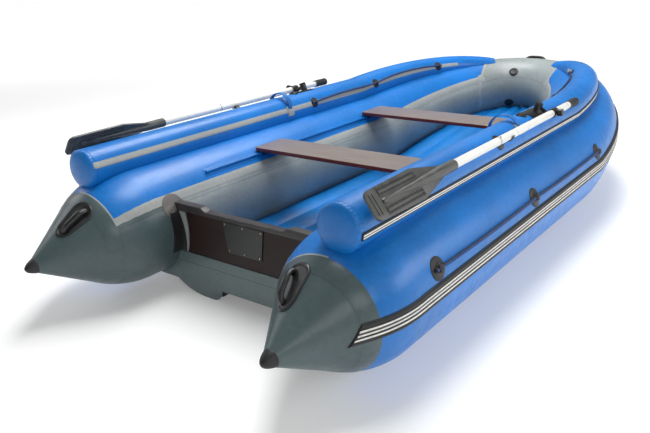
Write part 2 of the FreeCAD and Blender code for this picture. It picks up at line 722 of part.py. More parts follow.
def shoe(edge):
    """The sleeve under each end of a thwart, which slides on the rail's bead."""
    normal = turned(A_RAIL)
    along = edge + (W_THWART - W_SHOE) / 2.0
    start = at(X_TUBE, along, R_TUBE) + normal * (R_TUBE + H_BEAD)
    sleeve = rod(start, FORWARD, W_SHOE, R_BEAD + SLACK + T_SHOE)
    hole = rod(start - FORWARD, FORWARD, W_SHOE + 2, R_BEAD + SLACK)
    across = FORWARD.cross(normal)
    slot = placed(Part.makeBox(2 * (1.5 + SLACK + 1), W_SHOE + 2, 40, Vector(-2.9, -1, -40)), start, across, FORWARD)
    top = at(X_TUBE, along, Z_THWART).z
    hanger = Part.makeBox(34, W_SHOE, top - start.z, Vector(start.x - 17, start.y, start.z))
    under = Part.makeBox(6 * T_SHOE + 4 * R_BEAD, W_SHOE + 2, top - start.z + T_SHOE,
                         Vector(start.x - 3 * T_SHOE - 2 * R_BEAD, start.y - 1, top))
    trunk = hanger.fuse(sleeve).cut(under)
    floor_clear = rod(at(X_TUBE, along - 1, R_TUBE), FORWARD, W_SHOE + 2, R_TUBE + T_RAIL + 1.5)
    return solid_of(trunk.cut(Part.makeCompound([hole])).cut(slot).cut(floor_clear).removeSplitter())


for name, rule, edge in (("aft", "Sizes.Y_THWART_1", Y_THWART_1), ("front", "Sizes.Y_THWART_2", Y_THWART_2)):
    thwart_board("thwart_%s" % name, rule)
    foot = shoe(edge)
    pair = Part.makeCompound([foot, mirrored(foot)])
    add("thwart_shoes_%s" % name, pair, at(0, edge, Z_THWART))


# Strakes along the side of the main tubes and the fenders
def strake_band(centre, outboard, upward, radius, inner):
    half = arc_degrees(W_STRAKE, radius) / 2.0
    return band_wire(centre, outboard, upward, radius - inner, radius + T_STRAKE,
                     A_STRAKE - half, A_STRAKE + half, 1.0)


def strake_side():
    """A flat-sided band on the tube and on the shoulder of the cone, with a slanted end."""
    start = Y_JOINT - L_LEAD / 2.0
    shell = rod(at(X_TUBE, start, R_TUBE), FORWARD, L_SIDE - start, R_TUBE + T_STRAKE)
    shell = shell.cut([rod(STERN, STERN_AFT, R_TUBE, 2 * R_TUBE), SIDE_TUBE])
    shell = shell.fuse(stern_cone(T_STRAKE + 1).cut(stern_cone(GLUE)))
    normal = turned(A_STRAKE)
    slab = Part.makeBox(R_TUBE, W_STRAKE, 2 * L_SIDE, Vector(R_TUBE / 2.0, -W_STRAKE / 2.0, -L_SIDE))
    slab = placed(slab, at(X_TUBE, Y_JOINT, R_TUBE), normal, FORWARD.cross(normal))
    block = Part.makeBox(2 * R_TUBE, 2 * L_CONE, 4 * R_TUBE, Vector(0, -2 * L_CONE, -2 * R_TUBE))
    block.Placement = Placement(at(X_TUBE, Y_STRAKE, R_TUBE), Rotation(X_AXIS, -A_STRAKE_END))
    return solid_of(shell.common(slab).cut(block))


def strake_bow():
    sections = []
    for along, hand in ((L_SIDE, 1), (L_SIDE + L_LEAD / 2.0, 1)):
        sections.append(side_frame(along, hand))
    sections += [bow_frame(angle) for angle in BOW_STATIONS]
    for along, hand in ((L_SIDE + L_LEAD / 2.0, -1), (L_SIDE, -1)):
        sections.append(side_frame(along, hand))
    wires = []
    for centre, outboard, upward, onward, radius in sections:
        wires.append(strake_band(centre, outboard, upward, radius, 4))
    return solid_of(Part.makeLoft(wires, True, False).cut(bow))


add_pair("strake", strake_side(), at(X_TUBE + R_TUBE, Y_STRAKE, R_TUBE))
add("strake_bow", strake_bow(), at(0, Y_BOW, R_TUBE + H_BOW))


def fender_strake(hand):
    wires = []
    half = arc_degrees(W_FSTRAKE, R_FEND) / 2.0
    start = fender_at(Y_FSTRAKE, hand)
    across = X_AXIS * hand
    straight = band_wire(start, across, UP, R_FEND, R_FEND + T_FSTRAKE, A_FSTRAKE - half, A_FSTRAKE + half, 2.0)
    straight = Part.Face(straight).extrude(FORWARD * (L_SIDE - Y_FSTRAKE))
    for along in (L_SIDE, L_SIDE + L_LEAD / 2.0):
        wires.append(band_wire(fender_at(along, hand), across, UP, R_FEND - 3, R_FEND + T_FSTRAKE,
                               A_FSTRAKE - half, A_FSTRAKE + half, 2.0))
    for angle in [station for station in BOW_STATIONS if station < A_FEND]:
        centre, outboard, upward, radius = fender_frame(angle, hand)
        wires.append(band_wire(centre, outboard, upward, radius - 3, radius + T_FSTRAKE,
                               A_FSTRAKE - half, A_FSTRAKE + half, 2.0))
    curved = Part.makeLoft(wires, True, False)
    return solid_of(straight.fuse(curved.cut(fender_bow(hand)).cut(bow)))


for side, hand in SIDES:
    add("fender_strake_" + side, fender_strake(hand), fender_at(Y_FSTRAKE, hand))


# Eyelets: a round plate with a boss that the rope passes through
def eyelet(axis, tube, angle, plate, boss, height, rope_height, rope):
    normal = turned(angle)
    length = 2 * plate
    post = rod(axis, normal, tube + plate, plate)
    shell = rod(axis - FORWARD * length, FORWARD, 2 * length, tube + T_EYE)
    core = rod(axis - FORWARD * length, FORWARD, 2 * length, tube)
    knob = rod(axis, normal, tube + height, boss)
    hole = rod(axis + normal * (tube + rope_height) - FORWARD * length, FORWARD, 2 * length, rope + SLACK)
    return post.common(shell).fuse(knob).cut(core).cut(hole).removeSplitter()


def eyelets():
    row = []
    for i in range(int(N_EYE)):
        axis = at(X_TUBE, Y_EYE + i * P_EYE, R_TUBE)
        row.append(eyelet(axis, R_TUBE, A_EYE, R_EYE, R_BOSS, H_BOSS, H_ROPE, R_ROPE))
    return Part.makeCompound([s for piece in row for s in piece.cut(BOW_CLEAR).Solids])


def lifeline():
    over = 26
    normal = turned(A_EYE)
    start = at(X_TUBE, Y_EYE - over, R_TUBE) + normal * (R_TUBE + H_ROPE)
    return rod(start, FORWARD, (N_EYE - 1) * P_EYE + 2 * over, R_ROPE)


add_both("lifeline_eyelets", eyelets(), at(X_TUBE, Y_EYE, R_TUBE))
add_both("lifelines", lifeline(), at(X_TUBE, Y_EYE, R_TUBE))


def grab_eyelets():
    row = []
    for i in range(2):
        axis = fender_at(Y_GRAB + i * P_GRAB)
        row.append(eyelet(axis, R_FEND, A_GRAB, R_GRAB, R_BOSS * 0.7, H_BOSS * 0.8, H_ROPE - 1, R_ROPE - 1))
    return Part.makeCompound([s for piece in row for s in piece.Solids])


def grab_line():
    over = 22
    normal = turned(A_GRAB)
    start = fender_at(Y_GRAB - over) + normal * (R_FEND + H_ROPE - 1)
    return rod(start, FORWARD, P_GRAB + 2 * over, R_ROPE - 1)


add_both("grab_line_eyelets", grab_eyelets(), fender_at(Y_GRAB))
add_both("grab_lines", grab_line(), fender_at(Y_GRAB))

# Oarlock: a plate on the fender, a turning head above it, and the oar beside the head
LOCK_UP = turned(A_LOCK)
LOCK_OUT = turned(A_LOCK - 90)
PIVOT = fender_at(Y_LOCK) + LOCK_UP * H_LOCK
OAR_CENTRE = PIVOT + LOCK_OUT * D_OAR
A_OAR = math.degrees(math.atan2(OAR_CENTRE.z - FENDER_AXIS.z, OAR_CENTRE.x - FENDER_AXIS.x))
OAR_NORMAL = turned(A_OAR)
OAR_ACROSS = FORWARD.cross(OAR_NORMAL)
PIN_OUT = turned(A_PIN)
REACH_OAR = (OAR_CENTRE - fender_at(Y_LOCK)).Length


def fender_pad(angle, along, length, width, thickness):
    axis = fender_at(along)
    half = arc_degrees(width, R_FEND) / 2.0
    start = axis - FORWARD * (length / 2.0)
    band = Part.Face(band_wire(start, X_AXIS, UP, R_FEND, R_FEND + thickness, angle - half, angle + half, 1.5))
    return band.extrude(FORWARD * length)


Z_SOCKET = H_LOCK - H_HEAD / 2.0 - SLACK


def oarlock_base():
    pad = fender_pad(A_LOCK, Y_LOCK - S_BASE, L_BASE, W_BASE, T_BASE)
    axis = fender_at(Y_LOCK)
    tower = rod(axis + LOCK_UP * (R_FEND - 5), LOCK_UP, Z_SOCKET - R_FEND + 5, R_HEAD)
    stem = rod(axis + LOCK_UP * (R_FEND - 5), LOCK_UP, H_LOCK - R_FEND, 7)
    core = rod(axis - FORWARD * L_BASE, FORWARD, 2 * L_BASE, R_FEND)
    return solid_of(pad.fuse([tower, stem]).cut(core).removeSplitter())


def oarlock_head():
    start = PIVOT - LOCK_UP * (H_HEAD / 2.0)
    drum = rod(start, LOCK_UP, H_HEAD, R_HEAD)
    hole = rod(start - LOCK_UP, LOCK_UP, H_HEAD / 2.0 + 6 + SLACK, 7 + SLACK)
    inner = OAR_CENTRE - PIN_OUT * (R_COLLAR + L_ARM_BOSS)
    reach = inner - PIVOT
    arm = rod(PIVOT, reach, reach.Length, R_ARM)
    corner = Part.makeSphere(R_ARM, inner)
    boss = rod(inner, PIN_OUT, L_ARM_BOSS - G_KNOB, R_ARM)
    pin = rod(inner, PIN_OUT, 2 * R_COLLAR + L_ARM_BOSS + G_KNOB + L_KNOB / 2.0, R_PIN)
    knob = rod(OAR_CENTRE + PIN_OUT * (R_COLLAR + G_KNOB), PIN_OUT, L_KNOB, R_KNOB)
    return solid_of(drum.fuse([arm, corner, boss, pin, knob]).cut(hole).removeSplitter())


add_pair("oarlock_base", oarlock_base(), fender_at(Y_LOCK))
add_pair("oarlock_head", oarlock_head(), PIVOT)


def along_oar(label, radius, length, start):
    """A cylinder on the oar's axis that starts at a distance forward of the lock."""
    piece = doc.addObject("Part::Cylinder", label)
    piece.Placement = Placement(Vector(0, 0, 0), Rotation(X_AXIS, -90))
    return bind(piece, {"Radius": radius, "Height": length, "Placement.Base.x": "Sizes.X_OAR",
                        "Placement.Base.y": "Sizes.Y_OAR + (%s)" % start, "Placement.Base.z": "Sizes.Z_OAR"})


def lock_bore(label):
    """The hole for the oarlock's pin, right through the shaft."""
    piece = doc.addObject("Part::Cylinder", label)
    piece.Placement = Placement(Vector(0, 0, 0), Rotation(FORWARD, 90 - A_PIN))
    return bind(piece, {"Radius": "Sizes.R_PIN + Sizes.SLACK", "Height": "4 * Sizes.R_COLLAR",
                        "Placement.Rotation.Angle": "(90 - Sizes.A_PIN) * 1deg",
                        "Placement.Base.x": "Sizes.X_OAR - 2 * Sizes.R_COLLAR * cos(Sizes.A_PIN)",
                        "Placement.Base.y": "Sizes.Y_OAR",
                        "Placement.Base.z": "Sizes.Z_OAR - 2 * Sizes.R_COLLAR * sin(Sizes.A_PIN)"})


def bored_pair(label, outer, inner):
    """A sleeve on the oar with its bore and the pin's hole, and its mirror image to port."""
    shell = doc.addObject("Part::Cut", label + "_shell")
    shell.Base, shell.Tool = outer, inner
    final = doc.addObject("Part::Cut", label + "_starboard")
    final.Base, final.Tool = shell, lock_bore(label + "_pin_hole")
    other = doc.addObject("Part::Mirroring", label + "_port")
    other.Source = final
    other.Normal = X_AXIS
    parts[label + "_starboard"] = final
    parts[label + "_port"] = other


def oar_shaft():
    aft = "-(Sizes.L_OUTBOARD - Sizes.L_BLADE + Sizes.L_NECK / 2)"
    length = "Sizes.L_OUTBOARD - Sizes.L_BLADE + Sizes.L_NECK / 2 + Sizes.L_INBOARD - Sizes.L_GRIP"
    outer = along_oar("shaft_outside", "Sizes.R_SHAFT", length, aft)
    inner = along_oar("shaft_inside", "Sizes.R_SHAFT - Sizes.T_SHAFT", length, aft)
    bored_pair("oar_shaft", outer, inner)


def oar_collar():
    sleeve = rod(OAR_CENTRE - FORWARD * (L_COLLAR / 2.0), FORWARD, L_COLLAR, R_COLLAR)
    hollow = rod(OAR_CENTRE - FORWARD * L_COLLAR, FORWARD, 2 * L_COLLAR, R_SHAFT)
    cross = rod(OAR_CENTRE - PIN_OUT * 2 * R_COLLAR, PIN_OUT, 4 * R_COLLAR, R_PIN + SLACK)
    return solid_of(sleeve.cut(hollow).cut(cross))


def oar_grip():
    start = OAR_CENTRE + FORWARD * (L_INBOARD - L_GRIP)
    body = rod(start, FORWARD, L_GRIP, R_GRIP)
    plug = rod(start - FORWARD * 20, FORWARD, 21, R_SHAFT - T_SHAFT)
    rim = [e for e in body.Edges if e.BoundBox.YMin > start.y + L_GRIP - 1]
    return solid_of(body.makeFillet(R_GRIP_END, rim).fuse(plug).removeSplitter())


def oar_blade():
    """A flat blade with rounded corners, ribs along it and a socket for the shaft."""
    tip = OAR_CENTRE - FORWARD * L_OUTBOARD
    half = W_BLADE / 2.0

    def spot_on(across, along):
        return tip + OAR_ACROSS * across + FORWARD * along

    root = L_BLADE - L_NECK
    neck_half = R_SHAFT + R_SPINE
    corners = [(-half * 0.9, 0), (half * 0.9, 0), (half, Y_BLADE_WIDE), (neck_half, root), (-neck_half, root),
               (-half, Y_BLADE_WIDE)]
    wire = Part.makePolygon([spot_on(a, b) for a, b in corners] + [spot_on(*corners[0])])
    plate = Part.Face(wire).extrude(OAR_NORMAL * T_BLADE)
    plate.translate(OAR_NORMAL * (-T_BLADE / 2.0))
    upright = [e for e in plate.Edges if abs((e.Vertexes[0].Point - e.Vertexes[-1].Point).dot(OAR_NORMAL)) > T_BLADE / 2]
    plate = plate.makeFillet(R_BLADE_TIP, [e for e in upright if e.Vertexes[0].Y < tip.y + 1])
    spine = Part.makeCone(R_SPINE, R_SHAFT + T_SOCKET, root - Y_SPINE, tip + FORWARD * Y_SPINE, FORWARD)
    neck = rod(tip + FORWARD * root, FORWARD, L_NECK, R_SHAFT + T_SOCKET)
    bore = rod(tip + FORWARD * (L_BLADE - L_NECK / 2.0), FORWARD, L_NECK, R_SHAFT)
    ribs = []
    for hand in (-1, 1):
        start = spot_on(hand * S_RIB * W_BLADE / 2.0, Y_RIB)
        rib = Part.makeBox(W_RIB, L_RIB, T_BLADE + 2 * H_RIB, Vector(-W_RIB / 2.0, 0, -T_BLADE / 2.0 - H_RIB))
        ribs.append(placed(rib, start, OAR_ACROSS, FORWARD))
    return solid_of(plate.fuse([spine, neck] + ribs).cut(bore).removeSplitter())


oar_shaft()
add_pair("oar_collar", oar_collar(), OAR_CENTRE)
add_pair("oar_grip", oar_grip(), OAR_CENTRE)
add_pair("oar_blade", oar_blade(), OAR_CENTRE)


def oar_clip():
    """A round plate with two low springy arms, open the way the shaft lifts."""
    plate = tube_disc(A_OAR, Y_CLIP, R_CLIP, T_EYE, fender_at(Y_CLIP), R_FEND)
    axis = fender_at(Y_CLIP)
    start = axis - FORWARD * (W_CLIP / 2.0)
    seat = start + OAR_NORMAL * REACH_OAR
    outer = rod(seat, FORWARD, W_CLIP, R_SHAFT + SLACK + T_CLIP)
    bore = rod(seat - FORWARD, FORWARD, W_CLIP + 2, R_SHAFT + SLACK)
    lift = turned(A_PIN + 90)
    above = placed(Part.makeBox(100, W_CLIP + 2, 60, Vector(-50, -1, 0)), seat, FORWARD.cross(lift), FORWARD)
    stem = placed(Part.makeBox(18, W_CLIP, REACH_OAR - R_FEND, Vector(-9, 0, 0)), start + OAR_NORMAL * R_FEND,
                  OAR_ACROSS, FORWARD)
    core = rod(axis - FORWARD * 60, FORWARD, 120, R_FEND)
    arms = outer.fuse(stem).cut(above).cut(bore).cut(core)
    return solid_of(plate.fuse(arms).removeSplitter())


add_pair("oar_clip", oar_clip(), fender_at(Y_CLIP))


# Lift handles: a rounded base with a bar that stands off it
def handle(length, width):
    """Handle in its own frame: X along the bar, Z away from the surface, base top at 0."""
    straight = length - width
    base = Part.makeBox(straight, width, T_HANDLE, Vector(-straight / 2.0, -width / 2.0, -T_HANDLE))
    ends = [Part.makeCylinder(width / 2.0, T_HANDLE, Vector(s * straight / 2.0, 0, -T_HANDLE)) for s in (-1, 1)]
    base = base.fuse(ends).removeSplitter()
    reach = straight / 2.0
    bar = Part.makeCylinder(R_GRIPBAR, 2 * reach, Vector(-reach, 0, H_GRIPBAR), X_AXIS)
    legs = []
    for s in (-1, 1):
        legs.append(Part.makeSphere(R_GRIPBAR, Vector(s * reach, 0, H_GRIPBAR)))
        legs.append(Part.makeCylinder(R_GRIPBAR, H_GRIPBAR + T_HANDLE / 2.0, Vector(s * reach, 0, -T_HANDLE / 2.0)))
    return base.fuse([bar] + legs).removeSplitter()


def stern_handle():
    """Seated on the straight flank of the cone, a little inboard of its top line."""
    turn = math.radians(A_HANDLE)
    slope = math.radians(A_CONE)
    outward = X_AXIS * math.cos(turn) + STERN_UP * math.sin(turn)
    seat = stern_point(AFT_HANDLE, stern_radius(AFT_HANDLE), A_HANDLE)
    down_slope = STERN_AFT * math.cos(slope) - outward * math.sin(slope)
    normal = STERN_AFT * math.sin(slope) + outward * math.cos(slope)
    across = normal.cross(down_slope)
    body = placed(handle(L_HANDLE, W_HANDLE), seat + normal * (T_HANDLE + 1), down_slope, across)
    length = L_HANDLE - W_HANDLE
    width = W_HANDLE - 8
    skirt = Part.makeBox(length, width, 14, Vector(-length / 2.0, -width / 2.0, -14))
    skirt = placed(skirt, seat + normal * 1.5, down_slope, across)
    return solid_of(body.fuse(skirt).cut(STERN_CONE).removeSplitter()), seat


STERN_HANDLE, HANDLE_SEAT = stern_handle()
add_pair("stern_handle", STERN_HANDLE, HANDLE_SEAT)


def bow_handle():
    centre, outboard, upward, onward, radius = bow_frame(90)
    lean = math.radians(A_BOW_HANDLE)
    normal = outboard * math.cos(lean) + upward * math.sin(lean)
    seat = centre + normal * radius
    body = placed(handle(L_BOW_HANDLE, W_HANDLE), seat + normal * (T_HANDLE - 1), onward, normal.cross(onward))
    skirt = placed(Part.makeBox(L_BOW_HANDLE - W_HANDLE, W_HANDLE - 8, 24,
                                Vector(-(L_BOW_HANDLE - W_HANDLE) / 2.0, -(W_HANDLE - 8) / 2.0, -24)),
                   seat + normal, onward, normal.cross(onward))
    return solid_of(body.fuse(skirt).cut(bow).removeSplitter()), seat


BOW_HANDLE, BOW_SEAT = bow_handle()
add("bow_handle", BOW_HANDLE, BOW_SEAT)


def valve_body(normal_angle, angle):
    """A round valve flange on the inner side of the bow."""
    centre, outboard, upward, onward, radius = bow_frame(angle)
    lean = math.radians(normal_angle)
    normal = outboard * math.cos(lean) + upward * math.sin(lean)
    seat = centre + normal * (radius - D_VALVE)
    flange = rod(seat, normal, D_VALVE + T_VALVE, R_VALVE)
    return flange.fuse(rod(seat, normal, D_VALVE + 2 + T_VALVE, R_VALVE * 0.6)).cut(bow)


bow_valve = valve_body(A_VALVE_TOP, B_VALVE_TOP)
floor_valve = valve_body(A_VALVE_LOW, B_VALVE_LOW)
add("bow_valves", Part.makeCompound([solid_of(bow_valve), solid_of(floor_valve)]), at(0, Y_BOW - R_BOW, R_TUBE))


def fender_valve():
    return solid_of(tube_disc(A_FVALVE, Y_FVALVE, R_FVALVE, T_FVALVE, fender_at(Y_FVALVE), R_FEND))


add_both("fender_valves", fender_valve(), fender_at(Y_FVALVE))


def strap():
    """A webbing loop that arches over the fender, with an end pad on each side."""
    low, high = float(A_STRAP_OUT), float(A_STRAP_IN)
    axis = fender_at(Y_STRAP)
    start = axis - FORWARD * (W_STRAP / 2.0)
    middle = (low + high) / 2.0

    def ring(inner_rise):
        first = spot(start, X_AXIS, UP, R_FEND + inner_rise * 0.1, low)
        mid = spot(start, X_AXIS, UP, R_FEND + H_STRAP + inner_rise, middle)
        last = spot(start, X_AXIS, UP, R_FEND + inner_rise * 0.1, high)
        return first, mid, last

    f1, m1, l1 = ring(0)
    f2, m2, l2 = ring(T_STRAP)
    f2 = spot(start, X_AXIS, UP, R_FEND + T_STRAP, low - 3)
    l2 = spot(start, X_AXIS, UP, R_FEND + T_STRAP, high + 3)
    edges = [Part.Arc(f1, m1, l1).toShape(), Part.makeLine(l1, l2), Part.Arc(l2, m2, f2).toShape()]
    edges.append(Part.makeLine(f2, f1))
    loop = Part.Face(Part.Wire(edges)).extrude(FORWARD * W_STRAP)
    wide = W_STRAP + G_STRAP_PAD
    pads = [fender_pad(low - A_STRAP_PAD, Y_STRAP, wide, L_STRAP_PAD, T_STRAP_PAD),
            fender_pad(high + A_STRAP_PAD, Y_STRAP, wide, L_STRAP_PAD, T_STRAP_PAD)]
    core = rod(axis - FORWARD * 60, FORWARD, 120, R_FEND)
    return solid_of(loop.fuse(pads).cut(core).cut(hull_starboard).removeSplitter())


add_pair("strap_handle", strap(), fender_at(Y_STRAP))

# Every object is checked before anything is written
doc.recompute()
for feature in doc.Objects:
    if "Invalid" in feature.State or "Error" in feature.State:
        raise RuntimeError("failed object: " + feature.Label)
for label, feature in parts.items():
    if feature.Shape.isNull() or not feature.Shape.isValid():
        raise RuntimeError("bad shape: " + label)
os.makedirs("parts", exist_ok=True)
for label, feature in parts.items():
    solid_of(feature.Shape).exportStep("parts/%s.step" % label)
print("sub-parts", len(parts), "oar angle", round(A_OAR, 1), "oar reach", round(REACH_OAR, 1))
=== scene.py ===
import math

import bmesh
import bpy
import numpy as np
from mathutils import Matrix, Vector


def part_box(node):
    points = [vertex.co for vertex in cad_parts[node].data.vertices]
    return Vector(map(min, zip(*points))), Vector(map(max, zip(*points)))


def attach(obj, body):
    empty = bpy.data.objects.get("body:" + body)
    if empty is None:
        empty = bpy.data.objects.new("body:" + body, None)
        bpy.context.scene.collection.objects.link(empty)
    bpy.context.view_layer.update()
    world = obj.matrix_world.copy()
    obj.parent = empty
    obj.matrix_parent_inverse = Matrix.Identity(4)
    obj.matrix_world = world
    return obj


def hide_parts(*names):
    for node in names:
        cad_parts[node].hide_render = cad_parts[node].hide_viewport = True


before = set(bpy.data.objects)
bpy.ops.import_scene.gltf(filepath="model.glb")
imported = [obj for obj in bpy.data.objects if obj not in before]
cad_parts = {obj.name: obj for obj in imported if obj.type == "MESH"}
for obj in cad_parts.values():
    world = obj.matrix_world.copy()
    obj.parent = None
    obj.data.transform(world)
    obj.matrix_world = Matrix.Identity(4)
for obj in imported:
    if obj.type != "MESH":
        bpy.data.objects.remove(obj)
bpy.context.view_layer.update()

bl_info = {
    "name": "Rowing boat",
    "version": (1, 0, 0),
    "blender": (4, 5, 0),
    "location": "3D View > Sidebar > Boat",
    "description": "Dresses the packed inflatable boat with fabric, rubber, plywood and rope",
    "category": "Object",
}

# Lengths are in metres and angles in degrees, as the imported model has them. Main tubes
TUBE_LOW, TUBE_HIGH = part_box("side_tube_starboard")
R_TUBE = 0.240
X_TUBE = (TUBE_LOW.x + TUBE_HIGH.x) / 2
Z_KEEL = TUBE_HIGH.z - 2 * R_TUBE
L_SIDE = 1.820
L_LEAD = 0.080
# Transom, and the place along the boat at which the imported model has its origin
Y_TRANSOM = 0.262
Y_MID = Y_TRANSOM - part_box("transom_board")[0].y
T_TRANSOM = 0.030
Z_SKIRT_SEAM = (0.094, 0.0965)
# Reach from the tube's axis within which the transom's holders are painted black as shade in the gap
R_FLAP_SHADE = 0.269
# Bow: reach, fullness, rise with its power, radius and the angles of its seams
Y_BOW = 3.074
N_BOW = 2.13
H_BOW = 0.175
P_BOW = 1.165
R_BOW = 0.172
A_SEAM = 54
A_SEAM_TOP = 66
# Stern cones
Y_JOINT = 0.173
R_SHOULDER = 0.372
A_CONE = math.radians(33)
A_DROOP = math.radians(3.6)
L_BEND = 0.02
R_TIP = 0.028
L_TIP = 0.040
# Fenders: place beside and above the tube, aft dome, and how they sink into the bow
R_FEND = 0.080
OUT_FEND = 0.035
UP_FEND = 0.270
Y_FEND = 0.029
D_FEND = 0.024
A_FEND = 70
R_FEND_END = 0.056
UP_FEND_END = 0.132
IN_FEND_END = 0.024
P_FEND = 1.5
# The pleated lip of a fender, with the fold's deepest angle, its spread and its seam
L_LIP = 0.014
STEP_LIP = 0.0009
A_FOLD = 14
A_FOLD_SPREAD = 22
N_CREASE = 84
S_LIP_SEAM = (0.0132, 0.0150)
# Floor: lobes, tunnel, chine, upper face with its ridges, and how its bow end rises
X_LOBE = 0.218
W_LOBE = 0.040
X_TUNNEL = 0.147
Z_TUNNEL = 0.005
X_CHINE = 0.458
Z_CHINE = 0.044
Z_FLOOR = 0.105
X_FLOOR = 0.400
W_FLOOR_EDGE = 0.040
Z_FLOOR_UNDER = 0.080
N_RIDGE = 6
H_RIDGE = 0.014
P_RIDGE = 0.8
DROP = 0.045
FLOOR_ANGLES = (2, 64)
H_FLOOR_BOW = 0.018
# Bands and strips glued to the tubes, as angles above outboard and places along the tube
Y_COLLAR_AFT = -0.052
Y_COLLAR_FORE = 0.002
A_COLLAR_EDGE = 84
A_STRIP = (143.5, 152.5)
A_INNER_SEAM = 156.5
A_INNER_PANEL = (146.5, 275)
A_BOW_TOP = 72
A_BOW_BAND = (74, 262)
W_BOW_BAND = 0.026
R_CORNER = 0.027
A_FENDER_STRIP = (153.5, 171.5)
S_FENDER_STRIP = (0.006, 2.78)
R_FENDER_CORNER = 0.013
SINK = 0.0006
# Rubbing strakes
A_STRAKE = 4
W_STRAKE = 0.062
T_STRAKE = 0.009
N_STRAKE = 7
Y_STRAKE = -0.020
A_STRAKE_END = 35
L_STRAKE_END = 0.12
STRAKE_RUN = 0.050
A_FSTRAKE = -10
W_FSTRAKE = 0.026
T_FSTRAKE = 0.006
N_FSTRAKE = 5
Y_FSTRAKE = 0.034
# Lifelines, grab lines and their eyelets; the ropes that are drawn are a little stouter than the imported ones
R_ROPE = 0.0045
R_LIFELINE = 0.0067
R_GRAB_LINE = 0.0060
P_ROPE = 0.0045
H_ROPE = 0.009
L_ROPE_END = 0.026
A_EYE = 21.5
Y_EYE = 0.285
P_EYE = 0.800
N_EYE = 3
R_EYE = 0.040
H_EYE = 0.017
A_GRAB = 160
Y_GRAB = 1.430
P_GRAB = 0.605
N_GRAB = 3
R_GRAB = 0.028
H_GRAB = 0.014
GRAB_SAG = 0.010
# Oars, in their stowed place above the fenders
A_LOCK = 70
Y_LOCK = 1.475
H_LOCK = 0.108
D_OAR = 0.071
R_SHAFT = 0.016
L_INBOARD = 0.290
L_OUTBOARD = 1.435
Y_OAR_JOINT = 0.900
Y_BUTTON = 0.012
A_BUTTON = 72
R_BUTTON = 0.0042
L_GRIP = 0.105
R_GRIP = 0.0192
N_GRIP = 14
P_GRIP = 0.006
# Blades, with ladders of small ribs, two bars at the tip and a short spine
W_BLADE = 0.108
T_BLADE = 0.008
Y_LADDER = 0.165
X_LADDER = 0.030
L_LADDER = 0.205
N_RUNG = 30
RUNG = (0.0030, 0.0095, 0.0024)
LADDER_SIDE = (0.214, 0.0022, 0.0036)
Y_TIP_BARS = 0.026
TIP_BAR = (0.0035, W_BLADE * 0.62, 0.0030)
Y_SPINE = 0.062
# Handles: length and width of their bases, and the hand bar
AFT_HANDLE = 0.265
A_HANDLE = 110
HANDLE_BASE = (0.170, 0.086)
A_BOW_HANDLE = 56
BOW_HANDLE_BASE = (0.190, 0.074)
BOW_HANDLE_STRETCH = 0.72
R_BAR = 0.0095
H_BAR = 0.020
# Valves and strap
BOW_VALVES = ((96.5, 144), (101, 214))
R_VALVE = 0.029
A_FVALVE = 84
Y_FVALVE = 1.358
R_FVALVE = 0.024
Y_STRAP = 1.225
A_STRAP_ENDS = (44, 166)
L_STRAP_PAD = 0.048
A_STRAP_PAD = 18
T_STRAP_PAD = 0.004
# Motor plate: how much it narrows, corner radius, and the margins of diamonds and screws
NARROW = 0.018
R_PLATE = 0.007
STUD_MARGIN = (0.016, 0.014)
SCREW_INSET = 0.006
STUD_HEIGHT = 0.0009
SCREW_HEIGHT = 0.0045

X_AXIS = Vector((1, 0, 0))
UP = Vector((0, 0, 1))
FORWARD = Vector((0, 1, 0))
SIDES = ("starboard", "port")


def at(x, along, z):
    """A place given from the centre plane, the cones' seam and the tubes' lowest line."""
    return Vector((x, along - Y_MID, z + Z_KEEL))


def turned(angle, out=X_AXIS, up=UP):
    """A direction at an angle above outboard."""
    return out * math.cos(math.radians(angle)) + up * math.sin(math.radians(angle))


def circle(steps):
    """Angles of points round a circle, in radians."""
    return np.linspace(0, 2 * math.pi, steps, endpoint=False)


def shade(colour, factor, lift=0.0):
    return tuple(c * factor + lift for c in colour)


